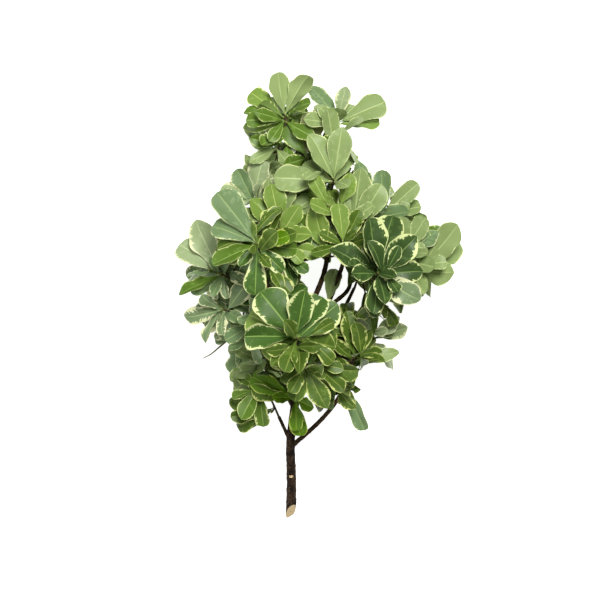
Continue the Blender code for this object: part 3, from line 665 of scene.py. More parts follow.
def lay_on_floor(leaf: Leaf) -> bool:
    """Lift a blade that dips under the floor until it just touches it.

    Args:
        leaf: The leaf, which is turned where it has to be.

    Returns:
        True if it now lies above the floor.
    """
    def clear() -> bool:
        """Tell whether no corner is under the floor."""
        return min(corner.z for corner in leaf_corners(leaf)) >= 0

    def turn_up(lift: float) -> bool:
        """Turn the blade up and try it.

        Args:
            lift: Angle from its first rise.

        Returns:
            Whether it is clear there.
        """
        leaf.along = unit(degrees(bearing), degrees(rise + lift))
        leaf.face = square_to(leaf.along, face).normalized()
        return clear()

    if clear():
        return True
    rise = asin(max(-1.0, min(1.0, leaf.along.z)))
    bearing = atan2(leaf.along.y, leaf.along.x)
    least, most = 0.0, radians(FLOOR_LIFT)
    face = leaf.face.copy()
    for _ in range(FLOOR_HALVINGS):
        lift = (least + most) / 2
        if turn_up(lift):
            most = lift
        else:
            least = lift
    return turn_up(most)


def in_window(leaf: Leaf, windows: Sequence[tuple] = SKY_WINDOWS) -> bool:
    """Tell whether a blade would cover one of some places, seen from above.

    Args:
        leaf: The leaf.
        windows: The places.

    Returns:
        True if it would.
    """
    tests = leaf_corners(leaf)[3:] + [leaf.root + leaf.along * (leaf.length * at)
                                      for at in MIDRIB_TESTS]
    return any(((point.x - x) / half_width) ** 2 + ((point.y - y) / half_height) ** 2 < 1
               for x, y, half_width, half_height in windows for point in tests)


@dataclass(frozen=True)
class Site:
    """Where leaves grow: their mass, their whorl, the shoot, its twig's axis and their spray."""

    mass: str
    whorl: tuple
    shoot: Shoot
    path: list[Vector]
    spray: Spray

    def draw(self, series: int = 0) -> random.Random:
        """Start one of the shoot's random draws."""
        return random.Random(series + self.whorl[0] * 31 + self.whorl[1])


@dataclass(frozen=True)
class Blade:
    """A placed blade to test others by: search trees of the whole, of most and of the outer part."""

    mass: str
    whorl: tuple
    trees: tuple[BVHTree, ...]
    middle: Vector
    length: float

    WHOLE, MOST, OUTER = range(3)

    def touches(self, other: "Blade") -> bool:
        """Tell whether two blades touch. Less of them is tested where they grow together.

        Args:
            other: The other blade.

        Returns:
            True if they touch.
        """
        if (self.middle - other.middle).length > (self.length + other.length) * NEAR_SHARE:
            return False
        part = self.WHOLE
        if self.mass == other.mass:
            part = self.OUTER if self.whorl == other.whorl else self.MOST
        return bool(self.trees[part].overlap(other.trees[part]))


@dataclass(frozen=True)
class Growth:
    """One kind of finer growth: its random series, its count, and its leaves' sizes and poses."""

    series: int
    count: int
    length: Span
    spread: Span
    breadth: Span
    bend: Span
    tilt: float

    def sizes(self, draw: random.Random, length: float) -> Sizes:
        """Draw a leaf's width and bend, and give its length, width, bend and tilt."""
        return length, length * draw.uniform(*self.breadth), draw.uniform(*self.bend), self.tilt

    def leaf(self, draw: random.Random, turn: float) -> tuple[Triple, Sizes]:
        """Draw a leaf at a turn, and give its pose and its sizes."""
        length = draw.uniform(*self.length)
        return (turn, draw.uniform(*self.spread), 0.0), self.sizes(draw, length)


@dataclass
class Crown:
    """Grows every twig and leaf, and keeps them clear of the limbs and of one another."""

    whorl_spread: Span = (84.0, 36.0)
    whorl_spread_play: Span = (-7.0, 7.0)
    whorl_length_play: Span = (0.9, 1.1)
    whorl_breadth_play: Span = (-0.04, 0.04)
    whorl_bend_play: Span = (-0.02, 0.05)
    bare_twig_radii: Span = (2.2, 0.8)
    along: Growth = Growth(8000, 6, (44.0, 62.0), (48.0, 80.0), (0.36, 0.48), (0.02, 0.2), 1.2)
    along_places: tuple[float, ...] = (0.84, 0.74, 0.64, 0.54, 0.44, 0.34)
    along_play: Span = (-0.03, 0.03)
    side: Growth = Growth(7000, 4, (52.0, 36.0), (78.0, 40.0), (0.38, 0.48), (0.02, 0.16), 1.0)
    side_places: tuple[float, ...] = (0.42, 0.66, 0.86)
    side_play: Span = (-0.06, 0.06)
    side_tries: int = 4
    side_lead: Span = (0.3, 0.8)
    side_rise: float = 0.35
    side_reach: Span = (13.0, 24.0)
    side_least_height: float = 8.0
    side_radii: Span = (1.0, 0.8)
    side_length_play: Span = (-3.0, 3.0)
    side_spread_play: Span = (-8.0, 8.0)
    side_depth: float = 5.0
    side_least_leaves: int = 2
    young: Growth = Growth(9000, 3, (13.0, 24.0), (14.0, 38.0), (0.34, 0.46), (-0.1, 0.12), 0.3)

    def __post_init__(self) -> None:
        """Grow the limbs' foliage as the solids have it, then the finer growth."""
        self.limbs: dict[str, Rod] = {}
        self.tubes: list[tuple[str, BVHTree]] = []
        self.blades: list[Blade] = []
        for limb in LIMBS:
            path = limb_path(limb, self.limbs)
            radii = taper(path, limb.base_radius, limb.tip_radius)
            self.limbs[limb.name] = path, radii
            self.tubes.append(("", tube_tree(path, radii)))
        self.twigs = {mass.name: self.mass_twigs(mass) for mass in MASSES}
        for name, twigs in self.twigs.items():
            self.tubes += [(name, tube_tree(path, radii)) for path, radii in twigs]
        self.leaves: dict[str, list[Leaf]] = {mass.name: [] for mass in MASSES}
        self.reach: dict[str, tuple[Vector, Vector]] = {}
        sites = [Site(mass.name, (number, place), shoot, self.twigs[mass.name][place][0],
                      shoot.spray)
                 for number, mass in enumerate(MASSES) for place, shoot in enumerate(mass.shoots)]
        for grow, site in product((self.grow_fan, self.grow_whorl), sites):
            grow(site)
        self.reach = {name: self.reach_of(leaves) for name, leaves in self.leaves.items()}
        finer = (self.grow_along, self.grow_side_twigs, self.grow_young)
        for grow, site in product(finer, sites):
            grow(site)
        self.tips = [(site.path[-1], tip_way(site.path)) for site in sites]
        self.grow_known()

    def grow_known(self) -> None:
        """Add the known leaves on boughs, and the bare twigs."""
        for sprig in SPRIGS:
            way, root = unit(sprig.bearing, sprig.rise), Vector(sprig.root)
            sizes = (sprig.length, sprig.length * sprig.breadth, FAN_BEND, FAN_TILT)
            leaf = make_leaf([root - way, root], 0.0, way, sizes)
            self.leaves[sprig.mass].append(replace(leaf, spray=sprig.spray))
        for name, points in BARE_TWIGS:
            path = smooth_path(points, TWIG_STEPS)
            self.twigs[name].append((path, taper(path, *self.bare_twig_radii)))

    @staticmethod
    def reach_of(leaves: Sequence[Leaf]) -> tuple[Vector, Vector]:
        """Give the low and the high corner of the box round some leaves."""
        corners = [corner for leaf in leaves for corner in leaf_corners(leaf)]
        return (Vector([min(corner[i] for corner in corners) for i in range(3)]),
                Vector([max(corner[i] for corner in corners) for i in range(3)]))

    def within_reach(self, leaf: Leaf, mass_name: str) -> bool:
        """Tell whether a blade of the finer growth stays in its mass's box."""
        low, high = self.reach[mass_name]
        return all(low[i] <= corner[i] <= high[i] for corner in leaf_corners(leaf)
                   for i in range(3))

    def mass_twigs(self, mass: Mass) -> list[Rod]:
        """Give paths and radii of a mass's stem and of the twigs that fork from it.

        Args:
            mass: The mass.

        Returns:
            A path and its radii for each shoot.
        """
        limb, limb_radii = self.limbs[mass.limb]
        start, way = point_on(limb, mass.at)
        radius = limb_radii[-1] if mass.at == 1 else TWIG_BASE_RADIUS
        twigs = []
        for number, shoot in enumerate(mass.shoots):
            end, end_way = Vector(shoot.place), unit(shoot.bearing, shoot.rise)
            if number:
                fork, fork_way = point_on(twigs[0][0], FORK_START + FORK_STEP * number)
                path, radius = arc_path(fork, fork_way, end, end_way), FORK_RADIUS
            elif mass.at < 1:
                path = arc_path(start, (end - start).normalized(), end, end_way)
            else:
                path = [start + way * JOINT_GAP]
                path += arc_path(start + way * COLLAR, way, end, end_way)
            twigs.append((path, taper(path, radius, TWIG_TIP_RADIUS)))
        return twigs

    def fits(self, leaf: Leaf, site: Site) -> bool:
        """Tell whether a blade is clear of all that it could touch, and note it if it is.

        Args:
            leaf: The leaf.
            site: Its site. Leaves of one whorl may touch near their roots.

        Returns:
            True if it is clear.
        """
        trees = tuple(BVHTree.FromPolygons(leaf_corners(leaf, start, TEST_MARGIN), LEAF_FACES)
                      for start in (0.0, OWN_MASS_START, OWN_WHORL_START))
        for owner, tree in self.tubes:
            if trees[Blade.MOST if owner == site.mass else Blade.WHOLE].overlap(tree):
                return False
        blade = Blade(site.mass, site.whorl, trees, leaf.root + leaf.along * (leaf.length / 2),
                      leaf.length)
        if any(blade.touches(other) for other in self.blades):
            return False
        self.blades.append(blade)
        return True

    def accept(self, leaf: Leaf, site: Site) -> bool:
        """Keep a blade if it lies above the floor, off the windows and clear of the rest.

        Args:
            leaf: The leaf.
            site: Its site.

        Returns:
            True if it is kept.
        """
        if not lay_on_floor(leaf) or in_window(leaf) or self.reach and (
                in_window(leaf, SHOWN_PLACES) or not self.within_reach(leaf, site.mass)) \
                or not self.fits(leaf, site):
            return False
        leaf.spray = site.spray
        self.leaves[site.mass].append(leaf)
        return True

    def grow_fan(self, site: Site) -> None:
        """Grow the leaves of a shoot whose directions are known.

        Args:
            site: The shoot's site.
        """
        shoot = site.shoot
        for number, (bearing, length, rise, *own) in enumerate(shoot.fan):
            breadth = next((item for item in own if isinstance(item, float)), shoot.breadth)
            spray = next((item for item in own if isinstance(item, Spray)), shoot.spray)
            setback = WHORL_DEPTH * number / len(shoot.fan)
            tilt = FAN_TILT * (shoot.facing if rise > 0 else 1)
            sizes = (length, length * breadth, FAN_BEND, tilt)
            for turn, lift in product(FAN_TURN_TRIES, FAN_LIFT_TRIES):
                way = unit(bearing + turn, rise + lift)
                if self.accept(make_leaf(site.path, setback, way, sizes),
                               replace(site, spray=spray)):
                    break

    def grow_whorl(self, site: Site) -> None:
        """Grow a shoot's leaves by the golden turn, from the old outer ones to the young ones.

        Args:
            site: The shoot's site.
        """
        draw, shoot = site.draw(), site.shoot
        axes = axes_round(unit(shoot.bearing, shoot.rise))
        first_turn = draw.uniform(*FULL_TURN)
        for number in range(shoot.leaves):
            age = number / max(shoot.leaves - 1, 1)
            spread = between(self.whorl_spread, age) + draw.uniform(*self.whorl_spread_play)
            length = shoot.leaf_length * (1 + (INNER_LENGTH - 1) * age) \
                * draw.uniform(*self.whorl_length_play)
            width = length * (shoot.breadth + draw.uniform(*self.whorl_breadth_play))
            bend = OLD_BEND * (1 - age) + draw.uniform(*self.whorl_bend_play)
            tilt = RULE_TILT * shoot.facing if shoot.rise > HANGING_RISE else 0.0
            pose = (first_turn + number * GOLDEN_TURN, spread, WHORL_DEPTH * (1 - age))
            self.place_rule_leaf(site, axes, pose, (length, width, bend, tilt))

    def place_rule_leaf(self, site: Site, axes: tuple[Vector, Vector, Vector], pose: Triple,
                        sizes: Sizes, grade: Grade = Grade.PLAIN) -> bool:
        """Try a blade at its own turn and spread, then a little to either side.

        Args:
            site: Its site.
            axes: The whorl's axis and two directions across it.
            pose: Turn, spread and setback.
            sizes: Length, width, bend and tilt.
            grade: How many faces it gets.

        Returns:
            True if it found a place.
        """
        axis, across, other = axes
        turn, spread, setback = pose
        for open_by, turn_by in product(SPREAD_TRIES, TURN_TRIES):
            outward = swung(across, other, radians(turn + turn_by))
            way = swung(axis, outward, radians(spread + open_by))
            if self.accept(make_leaf(site.path, setback, way, sizes, grade), site):
                return True
        return False

    def grow_along(self, site: Site) -> None:
        """Grow single leaves by the golden turn along a shoot's twig, below its whorl.

        Args:
            site: The shoot's site.
        """
        kind = self.along
        draw = site.draw(kind.series)
        first_turn = draw.uniform(*FULL_TURN)
        for number, at in enumerate(self.along_places):
            place, way = point_on(site.path, at + draw.uniform(*self.along_play))
            own = replace(site, whorl=(*site.whorl, "along", number), path=[place - way, place])
            self.place_rule_leaf(own, axes_round(way),
                                 *kind.leaf(draw, first_turn + number * GOLDEN_TURN))

    def grow_side_twigs(self, site: Site) -> None:
        """Grow short side twigs with small whorls of their own from a shoot's twig.

        Args:
            site: The shoot's site.
        """
        draw = site.draw(self.side.series)
        for number, at in enumerate(self.side_places):
            for attempt in range(self.side_tries):
                start, way = point_on(site.path, at + draw.uniform(*self.side_play))
                outward = Vector([draw.gauss(0, 1) for _ in range(3)])
                outward = square_to(way, outward).normalized()
                lift = Vector((0, 0, self.side_rise))
                aim = (way * draw.uniform(*self.side_lead) + outward + lift).normalized()
                end = start + aim * draw.uniform(*self.side_reach)
                if end.z < self.side_least_height:
                    continue
                path = arc_path(start, (way + outward).normalized(), end, aim)
                own = replace(site, whorl=(*site.whorl, number, attempt), path=path)
                if self.grow_side_whorl(own, draw):
                    break

    def grow_side_whorl(self, site: Site, draw: random.Random) -> bool:
        """Grow the whorl at a side twig's end, and keep the twig if it bears enough leaves.

        Args:
            site: The side twig's site.
            draw: The random draw.

        Returns:
            True if the twig is kept.
        """
        path, kind = site.path, self.side
        radii = taper(path, *self.side_radii)
        tree = tube_tree(path[1:], radii[1:])
        if any(tree.overlap(other) for owner, other in self.tubes if owner != site.mass) \
                or any(tree.overlap(blade.trees[Blade.MOST]) for blade in self.blades):
            return False
        axes = axes_round(tip_way(path))
        first_turn = draw.uniform(*FULL_TURN)
        grown = 0
        for number in range(kind.count):
            age = number / (kind.count - 1)
            length = between(kind.length, age) + draw.uniform(*self.side_length_play)
            spread = between(kind.spread, age) + draw.uniform(*self.side_spread_play)
            pose = (first_turn + number * GOLDEN_TURN, spread, self.side_depth * (1 - age))
            grown += self.place_rule_leaf(site, axes, pose, kind.sizes(draw, length))
        if grown < self.side_least_leaves:
            for kept in (self.leaves[site.mass], self.blades):
                del kept[len(kept) - grown:]
            return False
        self.twigs[site.mass].append((path, radii))
        self.tubes.append((site.mass, tree))
        return True

    def grow_young(self, site: Site) -> None:
        """Grow the small upright leaves round a shoot's bud.

        Args:
            site: The shoot's site.
        """
        shoot, kind = site.shoot, self.young
        if shoot.fan:
            return
        draw = site.draw(kind.series)
        axes = axes_round(unit(shoot.bearing, shoot.rise))
        first_turn = draw.uniform(*FULL_TURN)
        # young leaves of a shoot in painted shade keep its painted shade
        spray = SHADE if shoot.spray is SHADE else draw.choice(
            (BRIGHT, shoot.spray, shoot.spray))
        for number in range(kind.count):
            leaf = kind.leaf(draw, first_turn + number * GOLDEN_TURN)
            self.place_rule_leaf(replace(site, spray=spray), axes, *leaf, Grade.SMALL)


@dataclass(frozen=True)
class Sprig:
    """One known leaf that grows straight from a bough."""

    mass: str
    root: Triple
    bearing: float
    rise: float
    length: float
    breadth: float
    spray: Spray


SPRIGS = (
    Sprig("leaves_upper_middle", (8.6, -13.4, 76.5), 78, 24, 50, 0.44, SAGE),
    Sprig("leaves_front", (-32, -57, 182), 62, 6, 62, 0.6, FOREST),
    Sprig("leaves_front", (-28.5, -83, 108), 112, 24, 50, 0.5, SHADE),
    Sprig("leaves_upper_right", (36, 9, 70), 60, 30, 30, 0.5, OLIVE),
    Sprig("leaves_foot_right", (33, -123, 52), 140, 38, 34, 0.46, OLIVE),
)

BARE_TWIGS = (
    ("leaves_left_low", ((-110, -48, 60), (-126, -62, 50), (-138, -72, 44), (-150, -82, 39),
                          (-161, -88, 37))),
)


@dataclass(frozen=True)
class Level:
    """A number in a node tree, from an output socket: sums on it add Math nodes."""

    bench: "Bench"
    socket: NodeSocket

    def _sum(self, operation: str, other: object, flip: bool = False) -> "Level":
        """Add one Math node and give its result, with the operands the other way round if asked."""
        pair = {0: other, 1: self} if flip else {0: self, 1: other}
        return self.bench.level("ShaderNodeMath", {"operation": operation}, pair)

    __add__ = __radd__ = partialmethod(_sum, "ADD")
    __mul__ = __rmul__ = partialmethod(_sum, "MULTIPLY")
    __sub__ = partialmethod(_sum, "SUBTRACT")
    __rsub__ = partialmethod(_sum, "SUBTRACT", flip=True)
    __truediv__ = partialmethod(_sum, "DIVIDE")
    __pow__ = partialmethod(_sum, "POWER")


@dataclass(frozen=True)
class Bench:
    """Adds nodes to one tree."""

    tree: NodeTree

    def node(self, kind: str, settings: Optional[dict] = None,
             sockets: Optional[dict] = None) -> Node:
        """Add a node.

        Args:
            kind: The node's type.
            settings: Its properties, and the stops of its ramp, which are set first.
            sockets: Values or links of its inputs, by name or number.

        Returns:
            The node.
        """
        made = self.tree.nodes.new(kind)
        for key, value in (settings or {}).items():
            if key == "stops":
                for element, (place, colour) in zip(made.color_ramp.elements, value):
                    element.position, element.color = place, colour
            else:
                setattr(made, key, value)
        self.fill(made, sockets or {})
        return made

    def fill(self, node: Node, sockets: dict) -> None:
        """Set inputs of a node.

        Args:
            node: The node.
            sockets: Values or links of its inputs, by name or number.
        """
        for key, value in sockets.items():
            if isinstance(value, Level):
                value = value.socket
            if isinstance(value, NodeSocket):
                self.tree.links.new(value, node.inputs[key])
            else:
                node.inputs[key].default_value = value

    def level(self, kind: str, settings: Optional[dict] = None, sockets: Optional[dict] = None,
              output: Union[int, str] = 0) -> Level:
        """Add a node as node() does, and give one of its outputs as a number for sums."""
        return Level(self, self.node(kind, settings, sockets).outputs[output])

    def place(self) -> NodeSocket:
        """Give the place on the piece."""
        return self.node("ShaderNodeTexCoord").outputs["Object"]

    def noise(self, place: object, scale: float, **more: float) -> Level:
        """Give a noise over a place, with its detail and roughness if they aren't plain."""
        return self.level("ShaderNodeTexNoise", {}, {"Vector": place, "Scale": scale, **more},
                          "Fac")

    def share(self, value: object, start: float, end: float) -> Level:
        """Give how far a value is on its way from a start to an end, from 0 to 1."""
        return self.level("ShaderNodeMapRange", {}, {
            "Value": value, "From Min": start, "From Max": end}, "Result")

    def ramp(self, value: object, low: float, dark: Colour, high: float,
             light: Colour) -> NodeSocket:
        """Turn a value into a colour between one at a low and one at a high value."""
        stops = ((low, albedo(dark)), (high, albedo(light)))
        return self.node("ShaderNodeValToRGB", {"stops": stops}, {"Fac": value}).outputs["Color"]

    def mix(self, share: Level, first: object, second: Colour) -> NodeSocket:
        """Lay one colour over another by a share."""
        return self.node("ShaderNodeMix", {"data_type": "RGBA"}, {
            "Factor": share, "A": first, "B": albedo(second)}).outputs[2]

    def relief(self, height: object, strength: float, depth: float) -> NodeSocket:
        """Give a normal that a height tilts, at a strength and a depth in metres."""
        return self.node("ShaderNodeBump", {}, {"Strength": strength, "Distance": depth,
                                                "Height": height}).outputs["Normal"]


def albedo(colour: Colour) -> tuple[float, float, float, float]:
    """Turn a colour as it shows in full light, 0 to 255, into the surface's own linear colour."""
    lit = [share / 12.92 if share <= 0.04045 else ((share + 0.055) / 1.055) ** 2.4
           for share in (value / 255 for value in colour)]
    return (*[min(0.95, value / FULL_LIGHT) for value in lit], 1.0)


@dataclass(frozen=True)
class Finish:
    """A named finish. What its dress method gives goes into the Principled shader."""

    name: str

    def material(self) -> Material:
        """Make the material.

        Returns:
            The material, dressed.
        """
        material = bpy.data.materials.new(self.name)
        material.use_nodes = True
        bench = Bench(material.node_tree)
        bench.fill(material.node_tree.nodes["Principled BSDF"], self.dress(bench))
        return material


@dataclass(frozen=True)
class LeafFinish(Finish):
    """Leathery leaf surface with a fine net of veins, in the colour of one zone of one spray."""

    spray: Spray
    zone: Zone
    net_scale: float = 420.0
    grain_scale: float = 1500.0

    ROUGHNESS = (0.4, 0.42, 0.46, 0.44, 0.6)

    def dress(self, bench: Bench) -> dict:
        """Give the plain colour, with the veins' net and the pores in its relief.

        Args:
            bench: The material's bench.

        Returns:
            Values and links for the Principled shader.
        """
        place = bench.place()
        net = bench.level("ShaderNodeTexVoronoi", {"feature": "DISTANCE_TO_EDGE"},
                          {"Vector": place, "Scale": self.net_scale}, "Distance")
        grain = bench.noise(place, self.grain_scale, Detail=3.0)
        sockets = {"Base Color": albedo(getattr(self.spray.value, self.zone.name.lower())),
                   "Roughness": self.ROUGHNESS[self.zone], "Specular IOR Level": 0.17,
                   "Normal": bench.relief(net * 1.6 + grain * 0.35, 0.3, 0.0004)}
        if self.zone is not Zone.UNDER:
            sockets |= {"Coat Weight": 0.04, "Coat Roughness": 0.28}
        return sockets


@dataclass(frozen=True)
class BarkFinish(Finish):
    """Bark that is cracked along the limb and flecked, from a grain that follows the limb."""

    dark: Colour
    middle: Colour
    fleck: Colour
    flecks: float
    relief: float

    def dress(self, bench: Bench) -> dict:
        """Give the cracks, patches and flecks.

        Args:
            bench: The material's bench.

        Returns:
            Values and links for the Principled shader.
        """
        grain = bench.node("ShaderNodeAttribute", {"attribute_name": "grain"}).outputs["Vector"]
        long_grain = bench.node("ShaderNodeMapping", {}, {
            "Vector": grain, "Scale": (1.0, 1.0, 0.3)}).outputs["Vector"]
        cracks = bench.noise(long_grain, 0.42, Detail=6.0, Roughness=0.7)
        patches = bench.noise(grain, 0.12, Detail=3.0)
        spots = bench.level("ShaderNodeTexVoronoi", {}, {"Vector": grain, "Scale": 0.34},
                            "Distance")
        plain = bench.ramp(cracks * 0.75 + patches * 0.35, 0.46, self.dark, 0.66, self.middle)
        mask = bench.share(spots, 0.34, 0.16) * bench.share(patches, 0.42, 0.58) * self.flecks
        return {"Base Color": bench.mix(mask, plain, self.fleck),
                "Roughness": 0.62 + cracks * 0.35, "Specular IOR Level": 0.16,
                "Normal": bench.relief(cracks + spots * 0.25, self.relief, 0.0012)}


@dataclass(frozen=True)
class CutWoodFinish(Finish):
    """Fresh pale wood of a cut, with growth rings round its pith."""

    centre: Triple
    sapwood: Colour = (222, 200, 152)
    ring: Colour = (196, 166, 118)
    pith: Colour = (150, 120, 84)

    def dress(self, bench: Bench) -> dict:
        """Give the rings, the pith and the fibres.

        Args:
            bench: The material's bench.

        Returns:
            Values and links for the Principled shader.
        """
        place = bench.place()
        turned = bench.node("ShaderNodeMapping", {"vector_type": "POINT"}, {
            "Vector": place, "Location": tuple(-value for value in self.centre)})
        flat = bench.node("ShaderNodeVectorMath", {"operation": "MULTIPLY"}, {
            0: turned.outputs["Vector"], 1: (1.0, 0.12, 1.0)})
        reach = bench.level("ShaderNodeVectorMath", {"operation": "LENGTH"}, {
            0: flat.outputs["Vector"]}, "Value")
        fibres = bench.noise(place, 900.0, Detail=4.0)
        waves = bench.level("ShaderNodeMath", {"operation": "SINE"}, {0: reach * 5200.0})
        wood = bench.ramp(waves * 0.3 + fibres * 0.7, 0.0, self.ring, 0.55, self.sapwood)
        return {"Base Color": bench.mix(bench.share(reach, 0.0011, 0.0006), wood, self.pith),
                "Roughness": 0.72, "Normal": bench.relief(fibres, 0.3, 0.0003)}


@dataclass(frozen=True)
class SpeckFinish(Finish):
    """Finish of the small corky or scaly bits, speckled by a fine noise."""

    light: Colour
    dark: Colour
    scale: float = 2200.0

    def dress(self, bench: Bench) -> dict:
        """Give the specks."""
        grain = bench.noise(bench.place(), self.scale, Detail=3.0)
        return {"Base Color": bench.ramp(grain, 0.38, self.dark, 0.62, self.light),
                "Roughness": 0.7, "Normal": bench.relief(grain, 0.3, 0.0003)}


@dataclass(frozen=True)
class FloorFinish(Finish):
    """Pale floor that glows a little, so that no shadow greys it."""

    tone: float = 0.7
    glow: float = 0.92

    def dress(self, bench: Bench) -> dict:
        """Give the floor's tone, with a faint unevenness in its roughness."""
        return {"Base Color": (self.tone, self.tone, self.tone, 1.0),
                "Roughness": 0.8 + bench.noise(bench.place(), 300.0) * 0.1,
                "Specular IOR Level": 0.2, "Emission Color": (1.0, 1.0, 1.0, 1.0),
                "Emission Strength": self.glow}


def set_all(items: object, name: str, values: object, kind: type = np.float32) -> None:
    """Set one property of all items of a collection from an array of its kind."""
    items.foreach_set(name, np.asarray(values).astype(kind).ravel())


def link(name: str, data: object) -> Object:
    """Put something into the scene.

    Args:
        name: The object's name.
        data: Its mesh, light or camera.

    Returns:
        The object.
    """
    made = bpy.data.objects.new(name, data)
    bpy.context.scene.collection.objects.link(made)
    return made


def smoothed(mesh: Mesh, sharp: float) -> Mesh:
    """Shade a mesh smooth but for its sharp edges.

    Args:
        mesh: The mesh.
        sharp: Angle in degrees from which an edge is sharp.

    Returns:
        The same mesh.
    """
    mesh.shade_smooth()
    mesh.set_sharp_from_angle(angle=radians(sharp))
    return mesh


def add_piece(name: str, mesh: Mesh, nodes: Sequence[str] = ()) -> None:
    """Put a finished mesh into the scene on the branch's body, and hide the solids that it stands for.

    Args:
        name: The piece's name.
        mesh: Its mesh, with its place in it.
        nodes: The solids that it stands for.
    """
    piece = link(name, mesh)
    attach(piece, BODY)
    if nodes:
        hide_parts(*nodes)
    mesh.calc_loop_triangles()
    LOG.info("%s: %d triangles, %d finishes", name, len(mesh.loop_triangles),
             len(mesh.materials))


@dataclass
class MeshParts:
    """Gathers corners and faces of many small shapes for one mesh, in millimetres."""

    points: list[Array] = field(default_factory=list)
    corners: list[Array] = field(default_factory=list)
    totals: list[Array] = field(default_factory=list)
    looks: list[Array] = field(default_factory=list)
    grain: list[Array] = field(default_factory=list)
    count: int = 0

    def add(self, points: Array, faces: Sequence[Array], looks: Array,
            grain: Optional[Array] = None) -> None:
        """Add one shape.

        Args:
            points: Its corners' places.
            faces: Arrays of faces, each with one row a face.
            looks: One material number for each face, in the same order.
            grain: A vector for each corner that the bark's pattern follows.
        """
        for group in faces:
            self.corners.append((group + self.count).ravel())
            self.totals.append(np.full(len(group), group.shape[1], np.int32))
        self.points.append(points)
        self.looks.append(looks)
        if grain is not None:
            self.grain.append(grain)
        self.count += len(points)

    def mesh(self, name: str, sharp: float, finishes: Sequence) -> Mesh:
        """Make one smooth mesh of all shapes, in metres and in the shared frame.

        Args:
            name: The mesh's name.
            sharp: Angle in degrees from which an edge is sharp.
            finishes: Its materials, by their number in the looks.

        Returns:
            The mesh.
        """
        places = (np.concatenate(self.points) + np.array(FRAME_SHIFT)) * MM
        places[:, 2] = np.maximum(places[:, 2], FLOOR_GAP * MM)
        corners, totals = np.concatenate(self.corners), np.concatenate(self.totals)
        mesh = bpy.data.meshes.new(name)
        mesh.vertices.add(len(places))
        mesh.loops.add(len(corners))
        mesh.polygons.add(len(totals))
        set_all(mesh.vertices, "co", places)
        set_all(mesh.loops, "vertex_index", corners, np.int32)
        set_all(mesh.polygons, "loop_start", np.cumsum(totals) - totals, np.int32)
        set_all(mesh.polygons, "material_index", np.concatenate(self.looks), np.int32)
        if self.grain:
            grain = mesh.attributes.new("grain", "FLOAT_VECTOR", "POINT")
            set_all(grain.data, "vector", np.concatenate(self.grain))
        mesh.update(calc_edges=True)
        mesh.validate()
        for finish in finishes:
            mesh.materials.append(finish)
        return smoothed(mesh, sharp)


@dataclass(frozen=True)
class Habit:
    """How one leaf differs from the next, drawn once for each."""

    base: float
    power: float
    blunt: float
    lopsided: float
    uneven: float
    bumps: float
    slope: float
    cup: float
    curl: float
    twist: float
    sway: float
    wave: float
    turns: float
    phase: float
    lag: float
    cream: float

    POINTED_SHARE = 0.4
    FOLDED_SHARE = 0.3

    @classmethod
    def drawn(cls, draw: np.random.Generator, crinkle: float) -> "Habit":
        """Draw one leaf's habit.

        Args:
            draw: The leaf's own random draw.
            crinkle: How much more than plain it waves, twists and curls.

        Returns:
            The habit.
        """
        blunt = draw.uniform(0.62, 0.9) if draw.uniform() < cls.POINTED_SHARE \
            else draw.uniform(0.36, 0.5)
        fold = draw.uniform(0.08, 0.22)
        if draw.uniform() < cls.FOLDED_SHARE and crinkle > 1:
            fold = draw.uniform(0.4, 0.8)
        return cls(draw.uniform(0.92, 1.3), draw.uniform(1.5, 2.3), blunt,
                   draw.uniform(-0.1, 0.1), draw.uniform(0.03, 0.09), draw.uniform(1.2, 3.0),
                   atan(fold), draw.uniform(-0.14, 0.16), draw.uniform(-0.3, 1.1) * crinkle,
                   draw.uniform(-20, 20) * crinkle, draw.uniform(-0.07, 0.07),
                   draw.uniform(0.012, 0.042) * crinkle, draw.uniform(1.1, 2.6),
                   draw.uniform(0, 6.28), draw.uniform(0.6, 2.4), draw.uniform(0.5, 1.3))

    def outline(self, at: Array, side: Array) -> Array:
        """Give the width of the blade's halves along it, as shares of half its breadth.

        Args:
            at: Shares of the blade's length.
            side: Which side of the midrib, as -1 or 1.

        Returns:
            The shares.
        """
        turn = self.base + self.blunt * self.power
        widest = (self.base / turn) ** (1 / self.power)
        most = widest ** self.base * (1 - widest ** self.power) ** self.blunt
        plain = at ** self.base * np.clip(1 - at ** self.power, 0, 1) ** self.blunt / most
        bumps = np.sin(2 * np.pi * self.bumps * at + self.phase + self.lag * side)
        return plain * (1 + self.lopsided * side + self.uneven * bumps)


